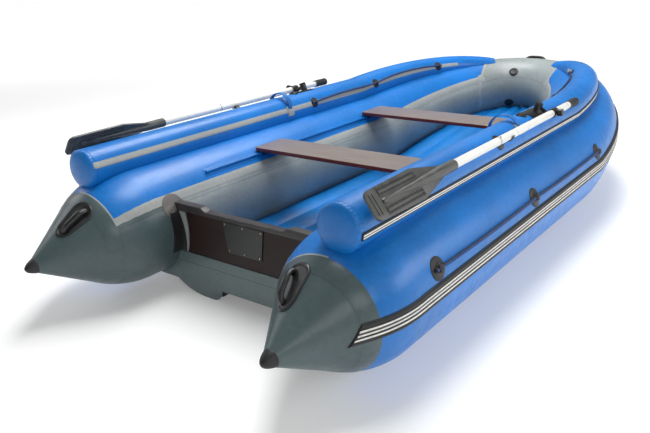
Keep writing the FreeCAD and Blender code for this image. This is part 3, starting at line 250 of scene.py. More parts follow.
# Meshes are collected surface by surface and made into one object
class Piece:
    """Collects surfaces with UVs and material numbers for one mesh."""

    def __init__(self):
        self.verts = []
        self.faces = []
        self.uvs = []
        self.marks = []

    def grid(self, rows, uv=None, around=False, caps=False, mark=0):
        """Quads over rows of points; around joins each row's ends, caps closes first and last row."""
        rows = np.asarray(rows, float)
        count, across = rows.shape[:2]
        base = len(self.verts)
        self.verts.extend(map(tuple, rows.reshape(-1, 3)))
        if uv is None:
            wide = across + (1 if around else 0)
            uv = np.zeros((count, wide, 2))
            uv[..., 0] = np.linspace(0, 1, count)[:, None]
            uv[..., 1] = np.linspace(0, 1, wide)[None, :]
        for i in range(count - 1):
            for j in range(across if around else across - 1):
                k = (j + 1) % across
                self.faces.append((base + i * across + j, base + i * across + k,
                                   base + (i + 1) * across + k, base + (i + 1) * across + j))
                self.uvs.append((uv[i, j], uv[i, j + 1], uv[i + 1, j + 1], uv[i + 1, j]))
                self.marks.append(mark)
        if caps:
            for i, order in ((0, -1), (count - 1, 1)):
                ring = [base + i * across + j for j in range(across)][::order]
                self.faces.append(tuple(ring))
                self.uvs.append([uv[i, 0]] * across)
                self.marks.append(mark)

    def lathe(self, profile, origin, axis, steps=32):
        """A turned shape: profile points are distances along the axis and radii."""
        axis = Vector(axis).normalized()
        side = axis.orthogonal().normalized()
        other = axis.cross(side)
        rows = []
        for along, radius in profile:
            centre = Vector(origin) + axis * along
            reach = max(radius, 1e-5)
            rows.append([centre + (side * math.cos(t) + other * math.sin(t)) * reach for t in circle(steps)])
        self.grid(rows, around=True, caps=True)

    def loop(self, section, path):
        """A section of points (across, up) carried round a closed path of (place, across, up)."""
        rows = [[p + a * x + u * y for x, y in section] for p, a, u in path]
        self.grid(rows + rows[:1], around=True)

    def mesh(self, mesh, mark=0):
        """Adds the faces of a finished mesh."""
        base = len(self.verts)
        self.verts.extend(tuple(v.co) for v in mesh.vertices)
        for face in mesh.polygons:
            self.faces.append(tuple(base + i for i in face.vertices))
            self.uvs.append([(0, 0)] * len(face.vertices))
            self.marks.append(mark)

    def make(self, name, body, finishes, nodes="", slot=None, sharp=32, closed=True, merge=1e-6):
        """One object; finishes and replaced nodes are names with spaces between them."""
        mesh = bpy.data.meshes.new(name)
        mesh.from_pydata(self.verts, [], self.faces)
        layer = mesh.uv_layers.new(name="Layout")
        flat = np.array([c for face in self.uvs for uv in face for c in uv], np.float32)
        layer.data.foreach_set("uv", flat)
        mesh.polygons.foreach_set("material_index", self.marks)
        work = bmesh.new()
        work.from_mesh(mesh)
        bmesh.ops.remove_doubles(work, verts=work.verts, dist=merge)
        bmesh.ops.dissolve_degenerate(work, edges=work.edges, dist=1e-7)
        if closed:
            bmesh.ops.recalc_face_normals(work, faces=work.faces)
        finish_piece(name, mesh, work, body, finishes, nodes, sharp)


def finish_piece(name, mesh, work, body, finishes, nodes, sharp):
    """Turns worked faces into an object on its body, with what it replaces."""
    work.to_mesh(mesh)
    work.free()
    for finish in finishes.split():
        mesh.materials.append(material(finish))
    mesh.shade_smooth()
    mesh.set_sharp_from_angle(angle=math.radians(sharp))
    piece = bpy.data.objects.new(name, mesh)
    bpy.context.scene.collection.objects.link(piece)
    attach(piece, body)
    if nodes:
        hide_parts(*nodes.split())


def mirrored(piece):
    """The same surfaces on the other side of the centre plane."""
    twin = Piece()
    twin.verts = [(-x, y, z) for x, y, z in piece.verts]
    twin.faces = [tuple(reversed(face)) for face in piece.faces]
    twin.uvs = [list(reversed(list(face))) for face in piece.uvs]
    twin.marks = list(piece.marks)
    return twin


def sided(build, name, body, finishes, nodes="", slot=None):
    """Makes a starboard piece and its mirror image; {} in a name stands for the side."""
    piece = Piece()
    build(piece)
    for side in SIDES:
        half = piece if side == "starboard" else mirrored(piece)
        half.make(name.format(side), body.format(side), finishes, nodes.replace("{}", side), slot)


def both(build, name, finishes, nodes, slot):
    """One piece with its mirror image beside it."""
    piece = Piece()
    build(piece)
    twin = mirrored(piece)
    shift = len(piece.verts)
    piece.verts += twin.verts
    piece.faces += [tuple(i + shift for i in face) for face in twin.faces]
    piece.uvs += twin.uvs
    piece.marks += twin.marks
    piece.make(name, "hull", finishes, nodes, slot)


def finished_copy(node, name, body, finish, bevel, sharp=30):
    """A CAD node's shape with its doubles merged, its flats joined and its hard edges rounded."""
    work = bmesh.new()
    work.from_mesh(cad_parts[node].data)
    bmesh.ops.remove_doubles(work, verts=work.verts, dist=2e-6)
    bmesh.ops.dissolve_limit(work, angle_limit=math.radians(0.6), verts=work.verts, edges=work.edges)
    edges = [edge for edge in work.edges if len(edge.link_faces) == 2]
    hard = [edge for edge in edges if edge.calc_face_angle(0) > math.radians(sharp)]
    bmesh.ops.bevel(work, geom=hard, offset=bevel, segments=2, profile=0.6, affect="EDGES",
                    clamp_overlap=True)
    bmesh.ops.triangulate(work, faces=[face for face in work.faces if len(face.verts) > 4])
    for face in work.faces:
        face.material_index = 0
    finish_piece(name, bpy.data.meshes.new(name), work, body, finish, node, sharp)


def copies(*rows):
    """Finished copies, a row for each: node, piece, body, finish, slot and bevel; {} is the side."""
    for node, name, body, finish, slot, bevel in rows:
        for side in SIDES if "{}" in node else SIDES[:1]:
            finished_copy(node.format(side), name.format(side), body.format(side), finish, bevel)


# Tubes: frames along a path, from which skins and glued bands are made
class Tube:
    """Dense frames along an inflated tube, read at any place along it."""

    def __init__(self, frames):
        self.s = np.array([f[0] for f in frames])
        self.data = np.array([[*f[1], *f[2], *f[3], f[4]] for f in frames])

    def frame(self, s):
        row = [np.interp(s, self.s, self.data[:, k]) for k in range(10)]
        out = Vector(row[3:6]).normalized()
        up = Vector(row[6:9]).normalized()
        return Vector(row[:3]), out, up, row[9]

    def point(self, s, angle, lift=0.0):
        centre, out, up, radius = self.frame(s)
        return centre + turned(angle, out, up) * (radius + lift)

    def normal(self, s, angle):
        ahead = self.point(s + 0.004, angle) - self.point(s - 0.004, angle)
        around = self.point(s, angle + 1) - self.point(s, angle - 1)
        normal = ahead.cross(around).normalized()
        return normal if normal.dot(self.point(s, angle) - self.frame(s)[0]) > 0 else -normal

    def surface(self, s, angle, lift=0.0):
        return self.point(s, angle) + self.normal(s, angle) * lift

    def ring(self, s, angles, lift=0.0):
        centre, out, up, radius = self.frame(s)
        lifts = np.broadcast_to(lift, len(angles))
        return [centre + turned(a, out, up) * (radius + h) for a, h in zip(angles, lifts)]


# The stern cone: its direction and the radii where its shoulder ends
STERN_AFT = Vector((0, -math.cos(A_DROOP), -math.sin(A_DROOP)))
STERN_UP = Vector((0, -math.sin(A_DROOP), math.cos(A_DROOP)))
L_SHOULDER = R_SHOULDER * math.sin(A_CONE)
R_CONE = R_TUBE - R_SHOULDER * (1 - math.cos(A_CONE))
L_CONE = L_SHOULDER + (R_CONE - R_TIP) / math.tan(A_CONE)


def stern_radius(aft):
    if aft < L_SHOULDER:
        return R_TUBE - R_SHOULDER + math.sqrt(R_SHOULDER ** 2 - max(aft, 0) ** 2)
    return R_CONE - (aft - L_SHOULDER) * math.tan(A_CONE)


def bow_centre(angle):
    turn = math.radians(min(angle, 180 - angle))
    across = max(math.cos(turn), 0) ** (2 / N_BOW)
    ahead = max(math.sin(turn), 0) ** (2 / N_BOW)
    hand = 1 if angle <= 90 else -1
    start = L_SIDE + L_LEAD
    return Vector((hand * X_TUBE * across, start + (Y_BOW - start) * ahead, R_TUBE + H_BOW * ahead ** P_BOW))


def bow_frame(angle):
    here = bow_centre(angle)
    onward = bow_centre(min(angle + 0.5, 180)) - bow_centre(max(angle - 0.5, 0))
    if angle <= 0:
        onward = FORWARD
    if angle >= 180:
        onward = -FORWARD
    out = onward.cross(UP).normalized()
    up = out.cross(onward.normalized())
    radius = R_TUBE - (R_TUBE - R_BOW) * (here.z - R_TUBE) / H_BOW
    return at(here.x, here.y, here.z), out, up, radius


def hull_frames():
    """From the starboard cone's end round the bow to the port cone's end; s is 0 at the starboard joint."""
    frames = []
    joint = at(X_TUBE, Y_JOINT, R_TUBE)
    for aft in np.linspace(L_CONE, L_BEND, 40):
        tilt = min(aft / L_BEND, 1)
        up = STERN_UP * tilt + UP * (1 - tilt)
        frames.append((-aft, joint + STERN_AFT * aft, X_AXIS, up.normalized(), stern_radius(aft)))
    for along in np.linspace(Y_JOINT + L_BEND, L_SIDE, 12):
        frames.append((along - Y_JOINT, at(X_TUBE, along, R_TUBE), X_AXIS, UP, R_TUBE))
    s = L_SIDE - Y_JOINT
    frames.append((s + L_LEAD / 2, at(X_TUBE, L_SIDE + L_LEAD / 2, R_TUBE), X_AXIS, UP, R_TUBE))
    s += L_LEAD
    last = None
    for angle in np.linspace(0, 90, 121):
        centre, out, up, radius = bow_frame(float(angle))
        if last is not None:
            s += (centre - last).length
        frames.append((s, centre, out, up, radius))
        last = centre
    stem = s
    flip = Vector((-1, 1, 1))
    for s, centre, out, up, radius in reversed(frames[:-1]):
        frames.append((2 * stem - s, centre * flip, out * flip, up * flip, radius))
    return frames, stem


HULL_FRAMES, S_STEM = hull_frames()
HULL = Tube(HULL_FRAMES)
S_SIDE = L_SIDE - Y_JOINT


def bow_s(angle):
    """Place along the hull of a bow angle."""
    target = bow_frame(angle)[0]
    places = [f for f in HULL_FRAMES if f[0] > S_SIDE]
    return min(places, key=lambda f: (f[1] - target).length)[0]


S_SEAM = bow_s(A_SEAM)
S_SEAM_TOP = bow_s(A_SEAM_TOP)


def seam_place(angle):
    """The bow seam lies further ahead on top of the tube than on its inner side."""
    rise = max(math.sin(math.radians(angle)), 0)
    return S_SEAM + (S_SEAM_TOP - S_SEAM) * rise ** 2


def fender_frames():
    """The starboard fender from its aft rim to where it sinks into the bow."""
    frames = []
    for along in np.linspace(Y_FEND, L_SIDE + L_LEAD / 2, 24):
        frames.append((along - Y_FEND, at(X_TUBE + OUT_FEND, along, R_TUBE + UP_FEND), X_AXIS, UP, R_FEND))
    s = frames[-1][0]
    last = frames[-1][1]
    for angle in np.linspace(0, A_FEND, 80):
        centre, out, up, radius = bow_frame(float(angle))
        share = (angle / A_FEND) ** P_FEND
        lift = UP_FEND + (UP_FEND_END - UP_FEND) * share
        centre = centre + out * (OUT_FEND * (1 - share) - IN_FEND_END * share) + up * lift
        s += (centre - last).length
        last = centre
        frames.append((s, centre, out, up, R_FEND + (R_FEND_END - R_FEND) * share))
    return frames


FENDER_FRAMES = fender_frames()
FENDER = Tube(FENDER_FRAMES)
S_FENDER = FENDER_FRAMES[-1][0]
S_FENDER_SIDE = L_SIDE - Y_FEND

# The stowed oar lies along the fender, square to a line from the fender's middle
FENDER_AXIS = at(X_TUBE + OUT_FEND, 0, R_TUBE + UP_FEND)
OAR_CENTRE = FENDER_AXIS + FORWARD * Y_LOCK + turned(A_LOCK) * H_LOCK + turned(A_LOCK - 90) * D_OAR
A_OAR = math.degrees(math.atan2(OAR_CENTRE.z - FENDER_AXIS.z, OAR_CENTRE.x - FENDER_AXIS.x))
OAR_NORMAL = turned(A_OAR)
OAR_ACROSS = FORWARD.cross(OAR_NORMAL)
BLADE_TIP = OAR_CENTRE - FORWARD * L_OUTBOARD


# Shader maths as expressions
class Value:
    """A socket that takes part in sums."""

    def __init__(self, shader, socket):
        self.shader = shader
        self.socket = socket

    def do(self, operation, *others):
        return self.shader.math(operation, self, *others)

    def __add__(self, other):
        return self.do("ADD", other)

    __radd__ = __add__

    def __sub__(self, other):
        return self.do("SUBTRACT", other)

    def __rsub__(self, other):
        return self.shader.math("SUBTRACT", other, self)

    def __mul__(self, other):
        return self.do("MULTIPLY", other)

    __rmul__ = __mul__

    def __truediv__(self, other):
        return self.do("DIVIDE", other)

    def above(self, edge, soft=0.0004):
        """0 below the edge and 1 above it, over a short ramp."""
        return self.shader.ramp(self, edge - soft, edge + soft)

    def between(self, low, high, soft=0.0004):
        return self.above(low, soft) * (1 - self.above(high, soft))


class Shader:
    """A material whose nodes are added by expressions."""

    def __init__(self, name):
        self.material = bpy.data.materials.new(name)
        self.material.use_nodes = True
        self.tree = self.material.node_tree
        self.tree.nodes.clear()
        self.bsdf = self.add("ShaderNodeBsdfPrincipled")
        output = self.add("ShaderNodeOutputMaterial")
        self.tree.links.new(self.bsdf.outputs[0], output.inputs[0])
        self.place = self.out("ShaderNodeTexCoord", "Object")

    def add(self, kind, settings=None, sockets=None):
        node = self.tree.nodes.new(kind)
        for key, value in (settings or {}).items():
            if key == "stops":
                ramp = node.color_ramp
                while len(ramp.elements) < len(value):
                    ramp.elements.new(0.5)
                for element, (where, colour) in zip(ramp.elements, value):
                    element.position = where
                    element.color = (*colour, 1)
            else:
                setattr(node, key, value)
        for key, value in (sockets or {}).items():
            self.feed(node.inputs[key], value)
        return node

    def feed(self, socket, value):
        if isinstance(value, Value):
            self.tree.links.new(value.socket, socket)
        elif hasattr(value, "__len__") and len(value) == 3 and socket.type == "RGBA":
            socket.default_value = (*value, 1)
        else:
            socket.default_value = value

    def out(self, kind, output, settings=None, sockets=None):
        return Value(self, self.add(kind, settings, sockets).outputs[output])

    def math(self, operation, *values):
        return self.out("ShaderNodeMath", 0, {"operation": operation}, dict(enumerate(values)))

    def ramp(self, value, low, high, start=0.0, end=1.0):
        sockets = {"Value": value, "From Min": low, "From Max": high, "To Min": start, "To Max": end}
        return self.out("ShaderNodeMapRange", 0, {"interpolation_type": "SMOOTHSTEP"}, sockets)

    def mix(self, share, first, second):
        node = self.add("ShaderNodeMix", {"data_type": "RGBA"})
        self.feed(node.inputs[0], share)
        self.feed(node.inputs[6], first)
        self.feed(node.inputs[7], second)
        return Value(self, node.outputs[2])

    def noise(self, scale, detail=2.0, rough=0.5, vector=None):
        vector = vector or self.place
        return self.out("ShaderNodeTexNoise", "Fac", None,
                        {"Vector": vector, "Scale": scale, "Detail": detail, "Roughness": rough})

    def grain(self, scale, stretch):
        """Streaks that run along X."""
        place = self.out("ShaderNodeMapping", 0, None, {"Vector": self.place, "Scale": stretch})
        return self.noise(scale, 4.0, 0.6, place)

    def parts(self, vector):
        node = self.add("ShaderNodeSeparateXYZ", None, {0: vector})
        return [Value(self, node.outputs[k]) for k in range(3)]

    def layout(self):
        """The piece's own UV map as two numbers."""
        return self.parts(self.out("ShaderNodeUVMap", 0, {"uv_map": "Layout"}))[:2]

    def axes(self):
        return self.parts(self.place)

    def weave(self, pitch):
        """Crossing threads seen in the surface, from the object's own coordinates."""
        x, y, z = self.axes()
        turns = 2 * math.pi / pitch
        along = (y * turns).do("SINE")
        across = ((x + z) * turns).do("SINE")
        return along * across

    def bump(self, height, strength, distance=0.001):
        sockets = {"Height": height, "Strength": strength, "Distance": distance}
        self.feed(self.bsdf.inputs["Normal"], self.out("ShaderNodeBump", 0, None, sockets))

    def done(self, **sockets):
        for key, value in sockets.items():
            self.feed(self.bsdf.inputs[key.replace("_", " ")], value)
        return self.material


# Finishes
SEAM_SHADOW = (0.010, 0.013, 0.015)
STRAKE_STRIPES = ((0.27, 0.36), (0.455, 0.545), (0.64, 0.73))
FENDER_STRIPES = ((0.26, 0.44), (0.56, 0.74))
RUBBER_TONES = ((0.012, 0.012, 0.013), (0.026, 0.026, 0.028))


def mottled(shader, colour, depth=0.12, scale=3.0):
    """The colour with the slow and fine variation of a coated sheet."""
    slow = shader.noise(scale, 3.0)
    fine = shader.noise(60.0, 2.0)
    share = shader.ramp(slow * 0.7 + fine * 0.3, 0.35, 0.65)
    return shader.mix(share, shade(colour, 1 - depth), shade(colour, 1 + depth, 0.002))


def fabric_finish(shader, colour, seams=None, rough=0.40):
    """Coated fabric: a faint thread pattern, slow waves of tension and a satin gloss."""
    threads = shader.weave(0.0016)
    waves = shader.noise(7.0, 3.0, 0.55)
    height = threads * 0.05 + waves * 0.9
    if seams is not None:
        height = height + seams
    shader.bump(height, 0.30, 0.0022)
    worn = shader.noise(22.0, 4.0, 0.6)
    roughness = shader.ramp(worn, 0.3, 0.75, rough - 0.05, rough + 0.09)
    return shader.done(Base_Color=colour, Roughness=roughness, Coat_Weight=0.24, Coat_Roughness=0.22,
                       Specular_IOR_Level=0.34)


MATERIALS = {}


def material(name):
    """A finish by its name, made when it is first asked for."""
    if name not in MATERIALS:
        MATERIALS[name] = FINISHES[name](bpy.context.scene.boat_colours)
    return MATERIALS[name]


def hull_fabric(colours):
    """The main tubes' panels: blue on top and outside, grey inside and at the bow, dark cones."""
    shader = Shader("hull_fabric")
    s, turn = shader.layout()
    angle = turn * 360
    along_side = s.above(Y_COLLAR_FORE - Y_JOINT)
    inner = angle.between(*A_INNER_PANEL, 0.15)
    rise = shader.math("MAXIMUM", (turn * (2 * math.pi)).do("SINE"), 0.0)
    ahead = s - (rise * rise * (S_SEAM_TOP - S_SEAM) + S_SEAM)
    bow_top = ahead.above(0) * angle.between(A_BOW_TOP, A_INNER_PANEL[1], 0.2)
    grey = shader.math("MAXIMUM", inner, bow_top)
    # Aft of the transom the inner panel takes the cones' dark grey: partly the panel's own colour, partly
    # painted shade behind the transom.
    aft_grey_and_shade = 1 - s.above(Y_TRANSOM - Y_JOINT)
    panels = shader.mix(aft_grey_and_shade, mottled(shader, colours.panel_grey), mottled(shader, colours.cone_grey))
    tone = shader.mix(grey, mottled(shader, colours.blue), panels)
    tone = shader.mix(1 - along_side, tone, mottled(shader, colours.cone_grey))
    seam = angle.between(A_INNER_SEAM - 0.2, A_INNER_SEAM + 0.2, 0.25) * along_side
    tone = shader.mix(seam * 0.6, tone, SEAM_SHADOW)
    return fabric_finish(shader, tone, seam * -0.6)


def plain_fabric(name, key, depth=0.12, rough=0.36):
    """Coated fabric in one of the boat's colours."""
    def build(colours):
        shader = Shader(name)
        return fabric_finish(shader, mottled(shader, getattr(colours, key), depth), rough=rough)
    return build


def skirt_fabric(colours):
    """The panel under the transom, with a welded seam along it."""
    shader = Shader("skirt_fabric")
    x, y, z = shader.axes()
    low, high = Z_SKIRT_SEAM
    seam = z.between(Z_KEEL + low, Z_KEEL + high, 0.0006)
    tone = shader.mix(seam * 0.6, mottled(shader, colours.skirt_grey), SEAM_SHADOW)
    return fabric_finish(shader, tone, seam * -0.6)


def flap_fabric(colours):
    """The transom's holders: grey along the board, and black against the tube as painted shade in the gap
    there.
    """
    shader = Shader("flap_fabric")
    x, y, z = shader.axes()
    side = x.do("ABSOLUTE") - X_TUBE
    rise = z - R_TUBE
    reach = (side * side + rise * rise).do("SQRT")
    # Black near the tube is painted shade in the gap between holder and tube; grey beyond it.
    dark, pale = mottled(shader, colours.rubber_black), mottled(shader, colours.panel_grey)
    return fabric_finish(shader, shader.mix(reach.above(R_FLAP_SHADE, 0.001), dark, pale))


def fender_fabric(colours):
    """Blue with a sewn-looking rim of small pleats at the aft dome."""
    shader = Shader("fender_fabric")
    s, turn = shader.layout()
    creases = (turn * (2 * math.pi * N_CREASE)).do("SINE") * s.between(-0.012, 0.010, 0.006)
    seam = s.between(*S_LIP_SEAM, 0.0006)
    # The dark blue line along the lip's seam is painted shade at the lip's step.
    tone = shader.mix(seam * 0.45, mottled(shader, colours.blue), (0.01, 0.03, 0.09))
    return fabric_finish(shader, tone, creases * 0.35)


def floor_fabric(colours):
    """Blue above and black below."""
    shader = Shader("floor_fabric")
    x, y, z = shader.axes()
    under = 1 - z.above(Z_KEEL + Z_FLOOR_UNDER)
    tone = shader.mix(under, mottled(shader, colours.floor_blue), mottled(shader, colours.rubber_black))
    return fabric_finish(shader, tone, rough=0.42)


def striped_rubber(name, bands, soft, wear):
    """Black rubber with cream stripes along it; the UV's second number runs across."""
    def build(colours):
        shader = Shader(name)
        s, across = shader.layout()
        stripes = sum(across.between(low, high, soft) for low, high in bands)
        worn = shader.noise(90.0, 3.0)
        cream = shader.mix(shader.ramp(worn, 0.4, 0.7), colours.cream, shade(colours.cream, wear))
        black = shader.mix(shader.ramp(worn, 0.3, 0.7), *RUBBER_TONES)
        shader.bump(shader.noise(300.0, 2.0), 0.12, 0.0006)
        roughness = shader.ramp(worn, 0.3, 0.7, 0.42, 0.58)
        return shader.done(Base_Color=shader.mix(stripes, black, cream), Roughness=roughness)
    return build


def moulded(name, key, rough, grain, strength):
    """Moulded rubber or plastic with a fine grain and a little dust."""
    def build(colours):
        shader = Shader(name)
        colour = getattr(colours, key)
        dust = shader.noise(35.0, 4.0, 0.6)
        tone = shader.mix(shader.ramp(dust, 0.35, 0.75), colour, shade(colour, 1.6, 0.004))
        shader.bump(shader.noise(grain, 2.0), strength, 0.0005)
        roughness = shader.ramp(dust, 0.3, 0.7, rough - 0.06, rough + 0.1)
        return shader.done(Base_Color=tone, Roughness=roughness)
    return build


def film_plywood(colours):
    """Film-faced board: a brown pressed film on the faces and thin reddish layers on the edges."""
    shader = Shader("film_plywood")
    x, y, z = shader.axes()
    normal = shader.parts(shader.out("ShaderNodeNewGeometry", "Normal"))
    flat = normal[2].do("ABSOLUTE").above(0.7, 0.1)
    streaks = shader.grain(9.0, (0.6, 8.0, 8.0))
    brown, red = colours.film_brown, colours.edge_red
    film = shader.mix(shader.ramp(streaks, 0.35, 0.7), brown, shade(brown, 1.35))
    layers = (z * (2 * math.pi / 0.0030)).do("SINE")
    edge = shader.mix(shader.ramp(layers, -0.6, 0.6), red, shade(red, 0.6))
    shader.bump(shader.weave(0.0032) * flat * 0.4 + layers * (1 - flat) * 0.4, 0.18, 0.0006)
    roughness = shader.ramp(streaks, 0.3, 0.8, 0.30, 0.44)
    return shader.done(Base_Color=shader.mix(flat, edge, film), Roughness=roughness, Coat_Weight=0.3,
                       Coat_Roughness=0.22)


def transom_plywood(colours):
    """Dark brown board with fine pale specks."""
    shader = Shader("transom_plywood")
    streaks = shader.grain(7.0, (0.7, 6.0, 6.0))
    specks = shader.noise(160.0, 3.0, 0.6)
    brown = colours.transom_brown
    tone = shader.mix(shader.ramp(streaks, 0.3, 0.75), brown, shade(brown, 1.5))
    tone = shader.mix(shader.ramp(specks, 0.55, 0.8) * 0.4, tone, shade(brown, 2.2))
    shader.bump(shader.weave(0.0032) * 0.4 + specks * 0.5, 0.2, 0.0006)
    roughness = shader.ramp(streaks, 0.3, 0.8, 0.42, 0.54)
    return shader.done(Base_Color=tone, Roughness=roughness, Coat_Weight=0.06, Coat_Roughness=0.3,
                       Specular_IOR_Level=0.25)


def rope_braid(colours):
    """Black rope with blue flecks that follow its twist; UVs run along and round it."""
    shader = Shader("rope_braid")
    along, round_it = shader.layout()
    turns = 2 * math.pi
    one = (along * (turns / 0.026) + round_it * turns).do("SINE")
    two = (along * (turns / 0.026) - round_it * turns).do("SINE")
    fleck = (one * two).above(0.22, 0.12)
    yarn = shader.noise(400.0, 2.0)
    dark = shader.mix(yarn, (0.010, 0.012, 0.018), (0.03, 0.032, 0.04))
    tone = shader.mix(fleck * 0.8, dark, colours.rope_blue)
    shader.bump(one * two, 0.5, 0.0008)
    return shader.done(Base_Color=tone, Roughness=shader.ramp(yarn, 0.2, 0.8, 0.7, 0.9))


def webbing(colours):
    """Woven strap in the boat's blue."""
    shader = Shader("webbing")
    along, across = shader.layout()
    ribs = (along * (2 * math.pi / 0.0022)).do("SINE")
    cords = (across * (2 * math.pi * 9)).do("SINE")
    tone = mottled(shader, shade(colours.blue, 0.9), 0.2, 20.0)
    tone = shader.mix(shader.ramp(ribs * cords, -1, 1) * 0.25, tone, (0.005, 0.02, 0.08))
    shader.bump(ribs * cords, 0.5, 0.0006)
    return shader.done(Base_Color=tone, Roughness=0.6)


def shaft_paint(colours):
    """Powder coat over a light alloy tube, slightly scuffed."""
    shader = Shader("shaft_paint")
    scuffs = shader.noise(30.0, 5.0, 0.65)
    white = colours.shaft_white
    tone = shader.mix(shader.ramp(scuffs, 0.5, 0.8), white, shade(white, 0.86))
    shader.bump(shader.noise(500.0, 2.0), 0.05, 0.0004)
    return shader.done(Base_Color=tone, Roughness=shader.ramp(scuffs, 0.3, 0.8, 0.26, 0.4), Coat_Weight=0.2)


def screw_metal(colours):
    """Brassy screw heads with a little stain."""
    shader = Shader("screw_metal")
    stain = shader.noise(220.0, 3.0)
    tone = shader.mix(shader.ramp(stain, 0.3, 0.7), (0.80, 0.66, 0.38), (0.55, 0.42, 0.22))
    shader.bump(stain, 0.1, 0.0003)
    return shader.done(Base_Color=tone, Metallic=1.0, Roughness=shader.ramp(stain, 0.3, 0.7, 0.22, 0.4))


def floor_paper(colours):
    """White studio paper that glows more with distance, so that it meets the white world."""
    shader = Shader("floor_paper")
    tone = shader.mix(shader.noise(0.6, 2.0), (0.86,) * 3, (0.88,) * 3)
    x, y, z = shader.axes()
    far = shader.ramp((x * x + y * y).do("SQRT"), *GLOW_REACH)
    glow = shader.mix(far, (GLOW[0],) * 3, (GLOW[1],) * 3)
    return shader.done(Base_Color=tone, Roughness=0.9, Emission_Color=glow, Emission_Strength=1.0)


FINISHES = {
    "tube": hull_fabric,
    "fender": fender_fabric,
    "floor": floor_fabric,
    "cone_grey": plain_fabric("cone_grey_fabric", "cone_grey"),
    "strip_grey": plain_fabric("strip_grey_fabric", "collar_grey", 0.08, 0.42),
    "blue": plain_fabric("blue_fabric", "blue"),
    "patch_brown": plain_fabric("patch_fabric", "patch_brown", 0.14, 0.5),
    "strake": striped_rubber("strake_rubber", STRAKE_STRIPES, 0.008, 0.82),
    "fender_strake": striped_rubber("fender_strake_rubber", FENDER_STRIPES, 0.01, 1.0),
    "rubber": moulded("black_rubber", "rubber_black", 0.5, 260.0, 0.14),
    "plastic": moulded("black_plastic", "plastic_black", 0.34, 420.0, 0.08),
    "grip": moulded("grip_rubber", "grip_grey", 0.55, 300.0, 0.16),
    "blade": moulded("blade_plastic", "blade_grey", 0.40, 320.0, 0.10),
    "edging": moulded("edging_rubber", "edging_grey", 0.46, 300.0, 0.10),
    "skirt": skirt_fabric,
    "flap": flap_fabric,
    "thwart": film_plywood,
    "transom": transom_plywood,
    "rope": rope_braid,
    "webbing": webbing,
    "shaft": shaft_paint,
    "screw": screw_metal,
    "paper": floor_paper,
}


# Profiles that lie on a tube
def strip_section(low, high, radius, thickness, edge=0.003):
    """Closed section of a flat strip on a tube, as angles and lifts, with eased edges."""
    ease = math.degrees(edge / radius)
    steps = max(int((high - low) / 3), 3)
    top = [(a, thickness) for a in np.linspace(low + ease, high - ease, steps)]
    return [(low, -SINK), (low, thickness * 0.3)] + top + [(high, thickness * 0.3), (high, -SINK)]


def lay_strip(piece, tube, places, low, high, thickness, radius=R_TUBE):
    """A strip along a tube between two angles."""
    angles, lifts = zip(*strip_section(low, high, radius, thickness))
    piece.grid([tube.ring(s, angles, lifts) for s in places], around=True, caps=True)


def lay_hoop(piece, tube, s_low, s_high, low, high, thickness, steps=60, lean=lambda angle: 0.0):
    """A band that runs round a tube between two angles; lean moves it along the tube at an angle."""
    edge = 0.002
    section = [(s_low, -SINK), (s_low, thickness * 0.4), (s_low + edge, thickness),
               ((s_low + s_high) / 2, thickness), (s_high - edge, thickness), (s_high, thickness * 0.4),
               (s_high, -SINK)]
    rows = []
    for angle in np.linspace(low, high, steps):
        rows.append([tube.point(s + lean(angle), angle, h) for s, h in section])
    piece.grid(rows, around=True, caps=True)


def lay_disc(piece, tube, s, angle, profile, steps=40):
    """A round pad that follows the tube: profile points are radii and lifts from rim to middle."""
    radius = tube.frame(s)[3]
    rows = []
    for reach, lift in profile:
        row = []
        for turn in circle(steps):
            around = math.degrees(reach * math.sin(turn) / radius)
            row.append(tube.point(s + reach * math.cos(turn), angle + around, lift))
        rows.append(row)
    piece.grid(rows, around=True, caps=True)


def dome_profile(radius, thickness, ease=0.004):
    """The profile of a slightly domed round patch."""
    return [(radius, -0.001), (radius, thickness * 0.5), (radius - ease, thickness),
            (radius * 0.5, thickness * 1.15), (0.0005, thickness * 1.2)]


# Small shapes that Geometry Nodes repeat, each with its node and that node's inputs
SMALL_SHAPES = {
    "stud": ("GeometryNodeMeshCone", {"Vertices": 4, "Radius Top": 0.18, "Radius Bottom": 0.5, "Depth": 1.0}),
    "dome": ("GeometryNodeMeshUVSphere", {"Segments": 12, "Rings": 6, "Radius": 0.5}),
    "bar": ("GeometryNodeMeshCube", {"Size": (1, 1, 1)}),
}


def repeat_tree(shape):
    """Copies of a small shape on a flat grid, made real and given their finish."""
    tree = bpy.data.node_groups.new("repeat_" + shape, "GeometryNodeTree")
    tree.interface.new_socket("Geometry", in_out="OUTPUT", socket_type="NodeSocketGeometry")
    small, settings = SMALL_SHAPES[shape]
    start, end, grid, place, solid, real, paint = [tree.nodes.new(name) for name in (
        "NodeGroupInput", "NodeGroupOutput", "GeometryNodeMeshGrid", "GeometryNodeInstanceOnPoints", small,
        "GeometryNodeRealizeInstances", "GeometryNodeSetMaterial")]
    for key, value in settings.items():
        solid.inputs[key].default_value = value
    inputs = (("Length", "Float", grid, "Size X"), ("Width", "Float", grid, "Size Y"),
              ("Along", "Int", grid, "Vertices X"), ("Across", "Int", grid, "Vertices Y"),
              ("Size", "Vector", place, "Scale"), ("Finish", "Material", paint, "Material"))
    keys = {}
    for label, kind, node, key in inputs:
        socket = tree.interface.new_socket(label, in_out="INPUT", socket_type="NodeSocket" + kind)
        keys[label] = socket.identifier
        tree.links.new(start.outputs[label], node.inputs[key])
    for source, target in ((grid, place.inputs["Points"]), (solid, place.inputs["Instance"]),
                           (place, real.inputs[0]), (real, paint.inputs[0]), (paint, end.inputs[0])):
        tree.links.new(source.outputs[0], target)
    return tree, keys


